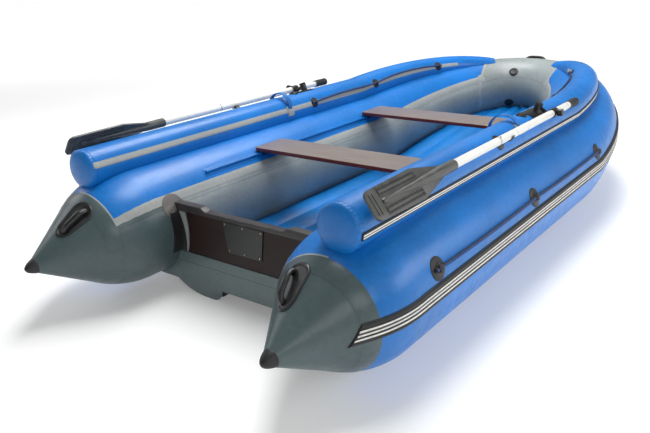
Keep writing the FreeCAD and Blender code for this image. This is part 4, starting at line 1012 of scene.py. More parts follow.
def repeated(shape, finish, length, width, along, across, size):
    """The mesh of a grid of small shapes, flat in X and Y."""
    tree, keys = repeat_tree(shape)
    holder = bpy.data.objects.new("holder", bpy.data.meshes.new("holder"))
    bpy.context.scene.collection.objects.link(holder)
    modifier = holder.modifiers.new("repeat", "NODES")
    modifier.node_group = tree
    values = {"Length": length, "Width": width, "Along": along, "Across": across, "Size": size,
              "Finish": material(finish)}
    for key, value in values.items():
        modifier[keys[key]] = value
    graph = bpy.context.evaluated_depsgraph_get()
    mesh = bpy.data.meshes.new_from_object(holder.evaluated_get(graph))
    bpy.data.objects.remove(holder)
    return mesh


def axes_matrix(origin, x_axis, y_axis):
    """Puts a flat grid's X and Y along two directions, with its upper side along their cross product."""
    return Matrix.Translation(origin) @ Matrix((x_axis, y_axis, x_axis.cross(y_axis))).transposed().to_4x4()


def rounded_outline(corners, radius, steps=5):
    """A convex outline with eased corners, as (x, y) points."""
    corners = [Vector(corner) for corner in corners]
    points = []
    for k, corner in enumerate(corners):
        before = corner + (corners[k - 1] - corner).normalized() * radius
        after = corner + (corners[(k + 1) % len(corners)] - corner).normalized() * radius
        for t in np.linspace(0, 1, steps):
            points.append(before * (1 - t) ** 2 + corner * (2 * t * (1 - t)) + after * t ** 2)
    return points


# What a user would change
def colour(name, description, *tone):
    return bpy.props.FloatVectorProperty(name=name, description=description, subtype="COLOR", default=tone,
                                         min=0, max=1)


def length(name, description, default, low, high):
    return bpy.props.FloatProperty(name=name, description=description, default=default, min=low, max=high,
                                   unit="LENGTH")


def number(name, description, default, low, high):
    return bpy.props.IntProperty(name=name, description=description, default=default, min=low, max=high)


class Colours(bpy.types.PropertyGroup):
    """Finishes of the boat."""

    blue: colour("Blue", "Tubes and fenders", 0.0015, 0.158, 0.520)
    floor_blue: colour("Floor blue", "Inflated floor", 0.002, 0.185, 0.560)
    cone_grey: colour("Cone grey", "Stern cones and skirt", 0.066, 0.099, 0.104)
    panel_grey: colour("Panel grey", "Inner panels", 0.262, 0.296, 0.292)
    collar_grey: colour("Pale grey", "Strips and collars", 0.330, 0.345, 0.330)
    patch_brown: colour("Patch", "Transom patches", 0.150, 0.138, 0.130)
    film_brown: colour("Film brown", "Thwart faces", 0.190, 0.155, 0.136)
    edge_red: colour("Edge red", "Thwart edges", 0.190, 0.020, 0.018)
    transom_brown: colour("Transom brown", "Transom board", 0.016, 0.0065, 0.0060)
    cream: colour("Cream", "Stripes on the strakes", 0.84, 0.83, 0.79)
    rubber_black: colour("Rubber", "Tips and strakes", 0.008, 0.008, 0.009)
    plastic_black: colour("Plastic", "Moulded fittings", 0.010, 0.011, 0.011)
    blade_grey: colour("Blade grey", "Oar blades", 0.050, 0.052, 0.049)
    edging_grey: colour("Edging", "Edging of the transom", 0.026, 0.023, 0.023)
    skirt_grey: colour("Skirt grey", "Panel under the transom", 0.115, 0.160, 0.160)
    grip_grey: colour("Grip", "Oar grips", 0.022, 0.024, 0.025)
    shaft_white: colour("Shaft white", "Oar shafts", 0.78, 0.78, 0.74)
    rope_blue: colour("Rope blue", "Flecks in the rope", 0.010, 0.090, 0.380)


class Sizes(bpy.types.PropertyGroup):
    """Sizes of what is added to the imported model."""

    strip_thickness: length("Strip thickness", "Glued strips and collars", 0.0012, 0.0002, 0.004)
    round_steps: number("Round steps", "Points round a main tube", 128, 32, 256)
    row_pitch: length("Row pitch", "Distance between rows of points on the tubes", 0.02, 0.005, 0.1)
    rope_twist: length("Rope twist", "Length of one turn of the rope's strands", 0.036, 0.01, 0.1)
    rope_sag: length("Rope slack", "How far the lifeline hangs between eyelets", 0.005, 0, 0.05)
    pleats: number("Pleats", "Folds round a fender's end", 42, 8, 90)
    pleat_depth: length("Pleat depth", "Depth of the folds", 0.0011, 0, 0.005)
    screw_radius: length("Screw head", "Radius of the screw heads", 0.0032, 0.001, 0.01)
    diamond_pitch: length("Diamond pitch", "Distance between the plate's diamonds", 0.0095, 0.004, 0.03)


def skin_places(low, high, pitch):
    return np.linspace(low, high, max(int((high - low) / pitch), 2))


def run_uv(along, around):
    """UVs that hold distances along a piece and shares across or round it."""
    uv = np.zeros((len(along), len(around), 2))
    uv[..., 0] = np.asarray(along)[:, None]
    uv[..., 1] = np.asarray(around)[None, :]
    return uv


def lay_skin(piece, rings, places, angles):
    """A closed skin whose UVs hold the place along it and the share of a turn."""
    piece.grid(rings, run_uv(places, np.append(angles, 360) / 360), around=True, caps=True)


# Operators, one for each group of like pieces
class BuildTubes(bpy.types.Operator):
    """Main tubes with their stern cones, and the bow"""

    bl_idname = "boat.tubes"
    bl_label = "Main tubes"

    def execute(self, context):
        sizes = context.scene.boat_sizes
        angles = np.linspace(0, 360, sizes.round_steps, endpoint=False)

        def side(piece):
            places = [*np.linspace(-L_CONE, -L_SHOULDER, 14), *np.linspace(-L_SHOULDER, 0, 22)[1:],
                      *skin_places(0, S_SIDE, sizes.row_pitch)[1:]]
            lay_skin(piece, [HULL.ring(s, angles) for s in places], places, angles)

        sided(side, "tube_skin_{}", "hull", "tube", "side_tube_{} stern_cone_{}", "pvc_blue")
        bow = Piece()
        places = skin_places(S_SIDE, 2 * S_STEM - S_SIDE, sizes.row_pitch * 0.8)
        folded = np.minimum(places, 2 * S_STEM - places)
        lay_skin(bow, [HULL.ring(s, angles) for s in places], folded, angles)
        bow.make("bow_skin", "hull", "tube", "bow_side_starboard bow_side_port bow_front", "pvc_blue")
        return {"FINISHED"}


class BuildSeams(bpy.types.Operator):
    """Pale strips, the cones' seams and the bow's seam bands"""

    bl_idname = "boat.seams"
    bl_label = "Seams and strips"

    def execute(self, context):
        thick = context.scene.boat_sizes.strip_thickness
        start = Y_COLLAR_FORE - Y_JOINT

        def strips(piece):
            middle = sum(A_STRIP) / 2
            end = seam_place(middle)
            places = list(np.linspace(start, S_SIDE, 40)) + list(np.linspace(S_SIDE, end, 70)[1:])
            lay_strip(piece, HULL, places, *A_STRIP, thick)
            lay_hoop(piece, HULL, -W_BOW_BAND / 2, W_BOW_BAND / 2, *A_BOW_BAND, thick * 1.2, lean=seam_place)
            lay_disc(piece, HULL, end, middle, dome_profile(R_CORNER, thick * 1.9))
            lay_hoop(piece, HULL, start - 0.001, start + 0.005, A_COLLAR_EDGE, A_STRIP[1], thick * 0.7)

        def joints(piece):
            lay_hoop(piece, HULL, Y_COLLAR_AFT - Y_JOINT, start, -179, 178, thick, steps=160)

        def fender_strip(piece):
            lay_strip(piece, FENDER, np.linspace(*S_FENDER_STRIP, 110), *A_FENDER_STRIP, thick, R_FEND)
            corner = dome_profile(R_FENDER_CORNER, thick * 2.4, 0.002)
            lay_disc(piece, FENDER, 0.010, sum(A_FENDER_STRIP) / 2, corner)

        sided(strips, "tube_strips_{}", "hull", "strip_grey", slot="pvc_light_grey")
        sided(joints, "cone_joint_{}", "hull", "cone_grey", slot="pvc_dark_grey")
        sided(fender_strip, "fender_strip_{}", "hull", "strip_grey", slot="pvc_light_grey")
        return {"FINISHED"}


class BuildFenders(bpy.types.Operator):
    """Fender tubes with pleated domed ends"""

    bl_idname = "boat.fenders"
    bl_label = "Fenders"

    def execute(self, context):
        sizes = context.scene.boat_sizes
        angles = np.linspace(0, 360, 168, endpoint=False)

        def pleated(share):
            """How far each point round the rim stands out, for a share of the full fold."""
            fold = sizes.pleat_depth * max(share, 0)
            return [fold * math.cos(math.radians(a * sizes.pleats)) for a in angles]

        def fender(piece):
            near = [0, 0.004, 0.008, L_LIP - 0.0012, L_LIP, L_LIP + 0.0012]
            centre, out, up, radius = FENDER.frame(0)
            rings = []
            marks = []
            for lean in np.linspace(88, 3, 16):
                back = D_FEND * math.sin(math.radians(lean))
                reach = radius * math.cos(math.radians(lean))
                ripple = pleated(1 - abs(lean - A_FOLD) / A_FOLD_SPREAD)
                rings.append([centre - FORWARD * (back - r * 0.5) + turned(a, out, up) * (reach + r)
                              for a, r in zip(angles, ripple)])
                marks.append(-back * 2)
            for s in near + list(np.linspace(0.03, S_FENDER, 150)):
                step = -STEP_LIP if s < L_LIP else 0.0
                rings.append(FENDER.ring(s, angles, [step + fold for fold in pleated(1 - s / L_LIP)]))
                marks.append(s)
            lay_skin(piece, rings, marks, angles)

        sided(fender, "fender_skin_{}", "hull", "fender", "fender_{} fender_bow_{}", "pvc_blue")
        return {"FINISHED"}


def strake_profile(width, thickness, ridges):
    """Half-round ridges on a base, as places across and lifts."""
    points = [(-0.5, -0.0012), (-0.5, thickness * 0.35)]
    low, high = -0.42, 0.42
    pitch = (high - low) / ridges
    for k in range(ridges):
        middle = low + pitch * (k + 0.5)
        for step in (-0.42, -0.30, -0.12, 0.12, 0.30, 0.42):
            rise = math.sqrt(max(1 - (step / 0.46) ** 2, 0))
            points.append((middle + step * pitch, thickness * (0.62 + 0.38 * rise)))
    return [(x * width, h) for x, h in points + [(0.5, thickness * 0.35), (0.5, -0.0012)]]


def lay_strake(piece, tube, angle, width, thickness, ridges, places, slant=0.0):
    """A ribbed strip along a tube; slant draws its first end out at one edge."""
    profile = strake_profile(width, thickness, ridges)
    rows = []
    for s in places:
        radius = tube.frame(s)[3]
        drawn = slant * max(0.0, 1 - (s - places[0]) / L_STRAKE_END)
        rows.append([tube.point(s + drawn * across, angle + math.degrees(across / radius), lift)
                     for across, lift in profile])
    shares = [across / width + 0.5 for across, lift in profile]
    piece.grid(rows, run_uv(places, shares + shares[:1]), around=True, caps=True)


class BuildStrakes(bpy.types.Operator):
    """Rubbing strakes with cream stripes"""

    bl_idname = "boat.strakes"
    bl_label = "Strakes"

    def execute(self, context):
        main = (HULL, A_STRAKE, W_STRAKE, T_STRAKE, N_STRAKE)
        slant = math.tan(math.radians(A_STRAKE_END))

        def side(piece):
            start = Y_STRAKE - Y_JOINT - STRAKE_RUN
            places = [*np.linspace(start, start + 0.2, 20), *np.linspace(start + 0.2, S_SIDE, 60)[1:]]
            lay_strake(piece, *main, places, slant)

        def fender_strake(piece):
            start = Y_FSTRAKE - Y_FEND
            end = S_FENDER * 0.97
            places = [*np.linspace(start, S_FENDER_SIDE, 60), *np.linspace(S_FENDER_SIDE, end, 90)[1:]]
            lay_strake(piece, FENDER, A_FSTRAKE, W_FSTRAKE, T_FSTRAKE, N_FSTRAKE, places)

        sided(side, "strake_skin_{}", "hull", "strake", "strake_{}", "rubber_black")
        bow = Piece()
        lay_strake(bow, *main, np.linspace(S_SIDE, 2 * S_STEM - S_SIDE, 240))
        bow.make("strake_skin_bow", "hull", "strake", "strake_bow", "rubber_black")
        sided(fender_strake, "fender_strake_skin_{}", "hull", "fender_strake", "fender_strake_{}",
              "rubber_black")
        return {"FINISHED"}


def arc_down(end_x, end_z, foot_x, foot_z, steps=14):
    """Points from an arc's high end down to where it meets the flat bottom, level."""
    span = end_x - foot_x
    climb = end_z - foot_z
    radius = (span * span + climb * climb) / (2 * climb)
    total = math.acos(max(-1.0, 1 - climb / radius))
    side = 1 if span > 0 else -1
    return [(foot_x + side * radius * math.sin(t), foot_z + radius * (1 - math.cos(t)))
            for t in np.linspace(total, 0, steps)[1:]]


def floor_outline(narrow, rise, flat):
    """The floor's section: ridges above, two lobes and a tunnel below, as (x, z) points."""
    low = -DROP * flat
    points = [(-X_FLOOR - W_FLOOR_EDGE, Z_FLOOR), (-X_FLOOR, Z_FLOOR)]
    pitch = 2 * X_FLOOR / N_RIDGE
    for k in range(N_RIDGE):
        for t in np.linspace(0, 1, 13)[1:]:
            bulge = H_RIDGE * (1 - (2 * t - 1) ** 2) ** P_RIDGE
            points.append((-X_FLOOR + (k + t) * pitch, Z_FLOOR + bulge))
    points.append((X_FLOOR + W_FLOOR_EDGE, Z_FLOOR))
    half = [(X_CHINE, Z_CHINE)]
    half += arc_down(X_CHINE, Z_CHINE, X_LOBE + W_LOBE / 2, low)
    half += reversed(arc_down(X_TUNNEL, Z_TUNNEL * flat, X_LOBE - W_LOBE / 2, low))
    half.append((X_TUNNEL, Z_TUNNEL * flat))
    points += half + [(-x, z) for x, z in reversed(half)]
    return [(x * narrow, z + rise) for x, z in points]


class BuildFloor(bpy.types.Operator):
    """Inflated floor and the skirt under the transom"""

    bl_idname = "boat.floor"
    bl_label = "Floor"

    def execute(self, context):
        stations = [(along, 1.0, 0.0, 1.0) for along in np.linspace(Y_TRANSOM + T_TRANSOM, L_SIDE, 60)]
        lead = L_SIDE + L_LEAD
        for angle in np.linspace(*FLOOR_ANGLES, 40):
            here = bow_centre(float(angle))
            share = max((here.y - lead) / (Y_BOW - lead), 0)
            rise = here.z - R_TUBE + H_FLOOR_BOW * share
            stations.append((here.y, here.x / X_TUBE, rise, 1 - 0.8 * share))
        piece = Piece()
        rows = [[at(x, along, z) for x, z in floor_outline(narrow, rise, flat)]
                for along, narrow, rise, flat in stations]
        piece.grid(rows, around=True, caps=True)
        piece.make("floor_skin", "hull", "floor", "floor_aft floor_bow", "floor_blue", sharp=50)
        copies(("tail_panel", "tail_skirt", "hull", "skirt", "pvc_dark_grey", 0.0012))
        return {"FINISHED"}


def trapezoid(low, high, inset=0.0):
    """The motor plate's outline, which narrows downwards."""
    return [(low.x + inset, high.z - inset), (low.x + NARROW + inset, low.z + inset),
            (high.x - NARROW - inset, low.z + inset), (high.x - inset, high.z - inset)]


class BuildTransom(bpy.types.Operator):
    """Transom board with its edging, plates, holders and patches"""

    bl_idname = "boat.transom"
    bl_label = "Transom"

    def execute(self, context):
        copies(("transom_board", "transom_panel", "hull", "transom", "plywood", 0.001),
               ("transom_edging", "transom_rim", "hull", "edging", "plastic_black", 0.0015),
               ("motor_plate_inner", "motor_pad_inner", "hull", "plastic", "plastic_black", 0.001),
               ("transom_holder_{}", "transom_flap_{}", "hull", "flap", "pvc_dark_grey", 0.0015),
               ("transom_patches", "transom_rounds", "hull", "patch_brown", "pvc_light_grey", 0.0006))
        self.motor_pad(context.scene.boat_sizes)
        return {"FINISHED"}

    def motor_pad(self, sizes):
        """A plate that narrows downwards, with raised diamonds and six screws."""
        low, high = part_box("motor_plate")
        middle = (low + high) / 2
        piece = Piece()
        rows = []
        for y, inset in ((high.y, 0.0), (low.y + 0.0022, 0.0), (low.y + 0.0006, 0.0006),
                         (low.y + 0.0002, 0.0022)):
            rows.append([(x, y, z) for x, z in rounded_outline(trapezoid(low, high, inset), R_PLATE)])
        piece.grid(rows, around=True, caps=True)
        wide = high.x - low.x - STUD_MARGIN[0]
        tall = high.z - low.z - STUD_MARGIN[1]
        place = axes_matrix(Vector((middle.x, low.y + 0.0003, middle.z)), X_AXIS, UP)

        def fit(mark, *grid):
            """Small shapes laid on the plate and drawn together downwards, as its outline is."""
            mesh = repeated(*grid)
            mesh.transform(place)
            for vert in mesh.vertices:
                share = (high.z - vert.co.z) / (high.z - low.z)
                vert.co.x = middle.x + (vert.co.x - middle.x) * (1 - share * NARROW * 2 / (high.x - low.x))
            piece.mesh(mesh, mark)

        pitch = sizes.diamond_pitch
        stud = (pitch * 0.86, pitch * 0.86, STUD_HEIGHT)
        fit(0, "stud", "plastic", wide, tall, round(wide / pitch), round(tall / pitch), stud)
        head = (sizes.screw_radius * 2, sizes.screw_radius * 2, SCREW_HEIGHT)
        fit(1, "dome", "screw", wide - SCREW_INSET, tall - SCREW_INSET, 3, 2, head)
        piece.make("motor_pad", "hull", "plastic screw", "motor_plate", "plastic_black", closed=False,
                   merge=1e-7)


class BuildThwarts(bpy.types.Operator):
    """Plywood thwarts, their shoes and their rails"""

    bl_idname = "boat.thwarts"
    bl_label = "Thwarts"

    def execute(self, context):
        for name in ("aft", "front"):
            body = name + "_thwart"
            copies(("thwart_" + name, "thwart_board_" + name, body, "thwart", "plywood", 0.0022),
                   ("thwart_shoes_" + name, "thwart_feet_" + name, body, "plastic", "plastic_black", 0.001))
        copies(("thwart_rail_{}", "rail_{}", "hull", "blue", "rail_blue", 0.0008))
        return {"FINISHED"}


def twisted_rope(piece, points, radius, twist, steps=18):
    """Three strands along a row of points."""
    rows = []
    marks = []
    run = 0.0
    for k, place in enumerate(points):
        onward = (points[min(k + 1, len(points) - 1)] - points[max(k - 1, 0)]).normalized()
        side = onward.cross(UP).normalized()
        top = side.cross(onward)
        if k:
            run += (place - points[k - 1]).length
        row = []
        for t in circle(steps):
            reach = radius * (0.9 + 0.1 * math.cos(3 * (t - 2 * math.pi * run / twist)))
            row.append(place + side * (reach * math.cos(t)) + top * (reach * math.sin(t)))
        rows.append(row)
        marks.append(run)
    piece.grid(rows, run_uv(marks, np.linspace(0, 1, steps + 1)), around=True, caps=True)


def eyelet(piece, tube, s, angle, plate, height, rope):
    """A round rubber plate with a raised eye that the rope passes through."""
    profile = [(plate, -0.001), (plate, 0.0012), (plate - 0.003, 0.0028), (plate * 0.60, 0.0032),
               (plate * 0.44, 0.0050), (plate * 0.36, height * 0.45), (plate * 0.33, height),
               (plate * 0.26, height * 1.12), (0.0008, height * 1.15)]
    lay_disc(piece, tube, s, angle, profile)
    centre, out, up, radius = tube.frame(s)
    normal = turned(angle, out, up)
    across = normal.cross(FORWARD)
    middle = centre + normal * (radius + height * 0.55)
    ring = []
    for t in circle(28):
        spoke = across * math.cos(t) + normal * math.sin(t)
        ring.append((middle + spoke * (rope + 0.0045), spoke, FORWARD))
    piece.loop([(0.0028 * math.cos(t), 0.0050 * math.sin(t)) for t in circle(10)], ring)


class BuildRopes(bpy.types.Operator):
    """Lifelines and grab lines in their eyelets"""

    bl_idname = "boat.ropes"
    bl_label = "Ropes"

    def execute(self, context):
        sizes = context.scene.boat_sizes

        def plates(piece, tube, first, pitch, count, *eye):
            for k in range(count):
                eyelet(piece, tube, first + k * pitch, *eye)

        def line(piece, tube, first, pitch, count, origin, angle, radius, height, sag):
            """A rope from eyelet to eyelet, with a little slack between them."""
            total = pitch * (count - 1)
            points = []
            for y in np.arange(first - L_ROPE_END, first + total + L_ROPE_END, P_ROPE):
                share = ((y - first) / pitch) % 1.0 if first <= y <= first + total else 0.0
                drop = sag * (1 - (2 * share - 1) ** 2) if share > 0 else 0.0
                along = y - origin
                spread = math.degrees(drop / tube.frame(along)[3])
                points.append(tube.point(along, angle - spread, height - drop * 0.12))
            twisted_rope(piece, points, radius, sizes.rope_twist)

        both(lambda piece: plates(piece, HULL, Y_EYE - Y_JOINT, P_EYE, N_EYE, A_EYE, R_EYE, H_EYE, R_ROPE),
             "eyelet_plates", "rubber", "lifeline_eyelets", "plastic_black")
        both(lambda piece: plates(piece, FENDER, Y_GRAB - Y_FEND, P_GRAB, N_GRAB, A_GRAB, R_GRAB, H_GRAB,
                                  R_ROPE - 0.001),
             "grab_plates", "rubber", "grab_line_eyelets", "plastic_black")
        both(lambda piece: line(piece, HULL, Y_EYE, P_EYE, N_EYE, Y_JOINT, A_EYE, R_LIFELINE, H_ROPE + 0.001,
                                sizes.rope_sag),
             "lifeline_ropes", "rope", "lifelines", "rope")
        both(lambda piece: line(piece, FENDER, Y_GRAB, P_GRAB, N_GRAB, Y_FEND, A_GRAB, R_GRAB_LINE, H_ROPE,
                                GRAB_SAG),
             "grab_ropes", "rope", "grab_lines", "rope")
        return {"FINISHED"}


class BuildOars(bpy.types.Operator):
    """Oars, oarlocks and clips"""

    bl_idname = "boat.oars"
    bl_label = "Oars"

    def execute(self, context):
        copies(("oar_shaft_{}", "shaft_{}", "oar_{}", "shaft", "shaft_white", 0.0005),
               ("oar_blade_{}", "blade_{}", "oar_{}", "blade", "plastic_black", 0.0018),
               ("oar_collar_{}", "collar_{}", "oar_{}", "plastic", "plastic_black", 0.001),
               ("oarlock_head_{}", "lock_head_{}", "oarlock_{}", "plastic", "plastic_black", 0.001),
               ("oarlock_base_{}", "lock_base_{}", "hull", "plastic", "plastic_black", 0.001),
               ("oar_clip_{}", "clip_{}", "hull", "plastic", "plastic_black", 0.001))
        sided(self.grip, "grip_{}", "oar_{}", "grip", "oar_grip_{}", "grip_grey")
        sided(self.joint, "shaft_joint_{}", "oar_{}", "plastic", slot="plastic_black")
        sided(self.ladders, "blade_ladders_{}", "oar_{}", "blade", slot="plastic_black")
        return {"FINISHED"}

    def grip(self, piece):
        """A rubber grip with ring grooves and a rounded end."""
        groove = R_GRIP - 0.0016
        profile = [(-0.001, R_SHAFT * 0.8), (0.0, 0.0178), (0.002, R_GRIP), (0.008, R_GRIP)]
        for k in range(N_GRIP):
            start = 0.010 + k * P_GRIP
            profile += [(start, R_GRIP), (start + 0.0012, groove), (start + 0.0030, groove),
                        (start + 0.0042, R_GRIP)]
        profile += [(0.097, 0.0195), (0.101, 0.0188), (0.104, 0.0150), (L_GRIP, 0.0080), (L_GRIP, 0.0)]
        piece.lathe(profile, OAR_CENTRE + FORWARD * (L_INBOARD - L_GRIP), FORWARD, 40)

    def joint(self, piece):
        """The ring where the shaft comes apart, and its spring button."""
        place = OAR_CENTRE + FORWARD * (Y_OAR_JOINT - Y_LOCK)
        inner, outer, half = R_SHAFT - 0.001, R_SHAFT + 0.0005, 0.0016
        piece.lathe([(-half, inner), (-half, outer), (half, outer), (half, inner)], place, FORWARD, 48)
        button = [(R_SHAFT - 0.002, R_BUTTON), (R_SHAFT + 0.0008, R_BUTTON),
                  (R_SHAFT + 0.0014, R_BUTTON - 0.001), (R_SHAFT + 0.0016, 0.0)]
        piece.lathe(button, place + FORWARD * Y_BUTTON, turned(A_BUTTON), 20)

    def ladders(self, piece):
        """Two rows of short ribs between rails on each face, bars at the tip and the spine's end."""
        def lay(face, ahead, aside, lift, *grid):
            out = OAR_NORMAL * (face * (T_BLADE / 2 + lift))
            mesh = repeated("bar", "blade", *grid)
            mesh.transform(axes_matrix(BLADE_TIP + FORWARD * ahead + OAR_ACROSS * aside + out, FORWARD,
                                       OAR_ACROSS * face))
            piece.mesh(mesh)

        for face in (1, -1):
            for aside in (-X_LADDER, X_LADDER):
                lay(face, Y_LADDER, aside, 0.0006, L_LADDER, 0.012, N_RUNG, 2, RUNG)
                lay(face, Y_LADDER, aside, 0.0006, 0.0, 0.026, 1, 2, LADDER_SIDE)
            lay(face, Y_TIP_BARS, 0.0, 0.0004, 0.016, 0.0, 2, 1, TIP_BAR)
        spine = [(0.0, 0.0), (0.0, 0.0085), (0.006, 0.0105), (0.020, 0.0100), (0.028, 0.0070)]
        piece.lathe(spine, BLADE_TIP + FORWARD * Y_SPINE, FORWARD, 24)


def on_tube(tube, s, angle, stretch):
    """Places given as distances along and around a tube, and off its surface."""
    radius = tube.frame(s)[3]

    def place(x, y, z):
        return tube.surface(s + x * stretch, angle + math.degrees(y / radius), z)
    return place


def lift_handle(piece, place, length, width):
    """A moulded handle: a long oval base with a raised rim, a hollow in it and a bar along it."""
    straight = length - width

    def oval(inset, height):
        row = []
        radius = width / 2 - inset
        for end in (1, -1):
            for t in np.radians(np.linspace(-90, 90, 14)):
                x = end * (straight / 2 + radius * math.cos(t))
                row.append(place(x, end * radius * math.sin(t), height))
        return row

    profile = ((0.0, -0.0015), (0.0, 0.0025), (0.0016, 0.0050), (0.0050, 0.0066), (0.0090, 0.0058),
               (0.0115, 0.0030), (0.0125, 0.0022), (0.0160, 0.0018), (0.0220, 0.0018),
               (width / 2 - 0.0005, 0.0018))
    piece.grid([oval(inset, height) for inset, height in profile], around=True, caps=True)
    reach = straight / 2 + 0.012
    rows = []
    for share in np.linspace(-1, 1, 41):
        rise = H_BAR * (1 - abs(share) ** 5) + 0.002
        slope = math.atan2(-H_BAR * 5 * abs(share) ** 4 * math.copysign(1, share), reach)
        row = []
        for t in circle(20):
            up = R_BAR * math.sin(t) * (1.0 if abs(share) < 0.9 else 1.15)
            row.append(place(share * reach - up * math.sin(slope), width * 0.14 + R_BAR * 1.15 * math.cos(t),
                             rise + up * math.cos(slope)))
        rows.append(row)
    piece.grid(rows, around=True, caps=True)


def valve_cap(piece, tube, s, angle, radius):
    """A flange with a ring groove and a raised cap with a rim."""
    profile = [(-0.006, radius), (0.0022, radius), (0.0046, radius - 0.0022), (0.0052, radius * 0.78),
               (0.0034, radius * 0.74), (0.0034, radius * 0.66), (0.0078, radius * 0.64),
               (0.0090, radius * 0.58), (0.0084, radius * 0.40), (0.0066, radius * 0.34), (0.0066, 0.0)]
    piece.lathe(profile, tube.point(s, angle), tube.normal(s, angle), 44)


class BuildFittings(bpy.types.Operator):
    """Handles, valves, strap loops and cone tips"""

    bl_idname = "boat.fittings"
    bl_label = "Fittings"

    def execute(self, context):
        copies(("strap_handle_{}", "strap_{}", "hull", "webbing", "pvc_blue", 0.0008))
        sided(self.strap_pads, "strap_pads_{}", "hull", "strip_grey", slot="pvc_light_grey")
        sided(self.cone_cap, "cone_cap_{}", "hull", "rubber", "cone_tip_{}", "rubber_black")
        sided(self.stern_handle, "lift_handle_{}", "hull", "plastic", "stern_handle_{}", "plastic_black")
        handle = Piece()
        lift_handle(handle, on_tube(HULL, S_STEM, A_BOW_HANDLE, BOW_HANDLE_STRETCH), *BOW_HANDLE_BASE)
        handle.make("bow_grab", "hull", "plastic", "bow_handle", "plastic_black")
        caps = Piece()
        for bow_angle, angle in BOW_VALVES:
            valve_cap(caps, HULL, 2 * S_STEM - bow_s(180 - bow_angle), angle, R_VALVE)
        caps.make("bow_valve_caps", "hull", "plastic", "bow_valves", "plastic_black")
        both(self.fender_valve, "fender_valve_caps", "plastic", "fender_valves", "plastic_black")
        return {"FINISHED"}

    def strap_pads(self, piece):
        middle = Y_STRAP - Y_FEND
        for angle in A_STRAP_ENDS:
            lay_hoop(piece, FENDER, middle - L_STRAP_PAD / 2, middle + L_STRAP_PAD / 2, angle - A_STRAP_PAD,
                     angle + A_STRAP_PAD, T_STRAP_PAD, steps=24)

    def cone_cap(self, piece):
        profile = ((-0.0100, 0.0296), (-0.0020, 0.0296), (0.0010, 0.0288), (0.0100, 0.0258), (0.0200, 0.0212),
                   (0.0280, 0.0165), (0.0340, 0.0115), (0.0380, 0.0060), (L_TIP, 0.0))
        piece.lathe(profile, at(X_TUBE, Y_JOINT, R_TUBE) + STERN_AFT * L_CONE, STERN_AFT, 48)

    def stern_handle(self, piece):
        lift_handle(piece, on_tube(HULL, -AFT_HANDLE, A_HANDLE, math.cos(A_CONE)), *HANDLE_BASE)

    def fender_valve(self, piece):
        valve_cap(piece, FENDER, Y_FVALVE - Y_FEND, A_FVALVE, R_FVALVE)


# Camera as solved from the photograph: place, angles in radians, focal length in picture widths
CAMERA_PLACE = (1.7488, -1.4784, 1.2354)
CAMERA_HEADING = 0.661
CAMERA_PITCH = 0.3503
CAMERA_ROLL = -0.0437
CAMERA_FOCAL = 691.8 / 650
SENSOR = 36
# Soft lights: name, place, aim, size and watts; the backdrop's shows in no gloss
LIGHTS = (
    ("overhead", (-0.4, 0.8, 4.6), (0, 0.2, 0), (2.0, 4.6), 270),
    ("backdrop", (-6.0, 9.0, 6.0), (-4.5, 7.0, 0), (13.0, 10.0), 420),
    ("stern_side", (4.6, -3.0, 2.4), (0, -0.2, 0.2), (2.6, 1.8), 46),
    ("starboard_side", (5.2, 2.6, 2.3), (0.7, 0.9, 0.3), (4.6, 1.6), 120),
    ("port_side", (-4.4, -1.6, 2.6), (0, 0, 0.3), (2.4, 2.0), 30),
)
WORLD_LIGHT = 0.22
# The studio floor: half its width, and its glow near and far with the distances where they hold
FLOOR_REACH = 90.0
GLOW = (0.22, 0.80)
GLOW_REACH = (4.0, 11.0)


def link_aimed(name, data, place, turn):
    """Puts a lamp or a camera at its place, turned to what it looks at."""
    thing = bpy.data.objects.new(name, data)
    bpy.context.scene.collection.objects.link(thing)
    thing.location = place
    thing.rotation_mode = "QUATERNION"
    thing.rotation_quaternion = turn
    return thing


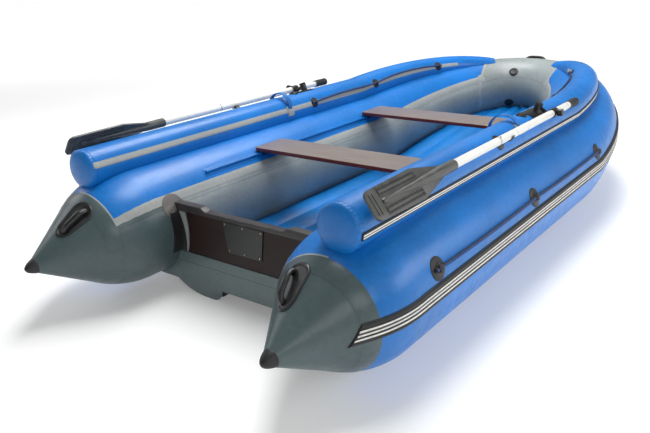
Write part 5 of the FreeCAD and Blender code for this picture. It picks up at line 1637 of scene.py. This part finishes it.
class BuildStage(bpy.types.Operator):
    """Pale floor, soft lights and the camera"""

    bl_idname = "boat.stage"
    bl_label = "Stage"

    def execute(self, context):
        self.ground()
        for name, place, aim, size, watts in LIGHTS:
            light = bpy.data.lights.new(name, "AREA")
            light.shape = "RECTANGLE"
            light.size, light.size_y = size
            light.energy = watts
            turn = (Vector(aim) - Vector(place)).to_track_quat("-Z", "Y")
            link_aimed(name, light, place, turn).visible_glossy = name != "backdrop"
        world = bpy.data.worlds.new("studio")
        context.scene.world = world
        world.use_nodes = True
        background = world.node_tree.nodes["Background"]
        background.inputs[0].default_value = (1, 1, 1, 1)
        background.inputs[1].default_value = WORLD_LIGHT
        context.scene.view_settings.view_transform = "Standard"
        context.scene.view_settings.look = "None"
        context.scene.camera = self.camera()
        return {"FINISHED"}

    def ground(self):
        mesh = bpy.data.meshes.new("studio_floor")
        r = FLOOR_REACH
        mesh.from_pydata([(-r, -r, 0), (r, -r, 0), (r, r, 0), (-r, r, 0)], [], [(0, 1, 2, 3)])
        mesh.materials.append(material("paper"))
        floor = bpy.data.objects.new("studio_floor", mesh)
        bpy.context.scene.collection.objects.link(floor)

    def camera(self):
        camera = bpy.data.cameras.new("camera")
        camera.sensor_width = SENSOR
        camera.lens = CAMERA_FOCAL * SENSOR
        camera.clip_end = 100
        ahead = Vector((-math.sin(CAMERA_HEADING) * math.cos(CAMERA_PITCH),
                        math.cos(CAMERA_HEADING) * math.cos(CAMERA_PITCH), -math.sin(CAMERA_PITCH)))
        level = Vector((math.cos(CAMERA_HEADING), math.sin(CAMERA_HEADING), 0))
        top = level.cross(ahead)
        right = level * math.cos(CAMERA_ROLL) + top * math.sin(CAMERA_ROLL)
        above = top * math.cos(CAMERA_ROLL) - level * math.sin(CAMERA_ROLL)
        turn = Matrix((right, above, -ahead)).transposed().to_quaternion()
        return link_aimed("camera", camera, at(*CAMERA_PLACE), turn)


OPERATORS = (BuildTubes, BuildSeams, BuildFenders, BuildStrakes, BuildFloor, BuildTransom, BuildThwarts,
             BuildRopes, BuildOars, BuildFittings, BuildStage)


class BoatPanel(bpy.types.Panel):
    """Lists the sizes, the colours and the operators"""

    bl_idname = "VIEW3D_PT_boat"
    bl_label = "Rowing boat"
    bl_space_type = "VIEW_3D"
    bl_region_type = "UI"
    bl_category = "Boat"

    def draw(self, context):
        for group in (context.scene.boat_sizes, context.scene.boat_colours):
            box = self.layout.box()
            for key in type(group).__annotations__:
                box.prop(group, key)
        for operator in OPERATORS:
            self.layout.operator(operator.bl_idname)


CLASSES = (Colours, Sizes, *OPERATORS, BoatPanel)


def register():
    for item in CLASSES:
        bpy.utils.register_class(item)
    bpy.types.Scene.boat_colours = bpy.props.PointerProperty(type=Colours)
    bpy.types.Scene.boat_sizes = bpy.props.PointerProperty(type=Sizes)


def unregister():
    del bpy.types.Scene.boat_sizes
    del bpy.types.Scene.boat_colours
    for item in reversed(CLASSES):
        bpy.utils.unregister_class(item)


def main():
    register()
    for operator in OPERATORS:
        group, name = operator.bl_idname.split(".")
        getattr(getattr(bpy.ops, group), name)()
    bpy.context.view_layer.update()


if __name__ == "__main__":
    main()
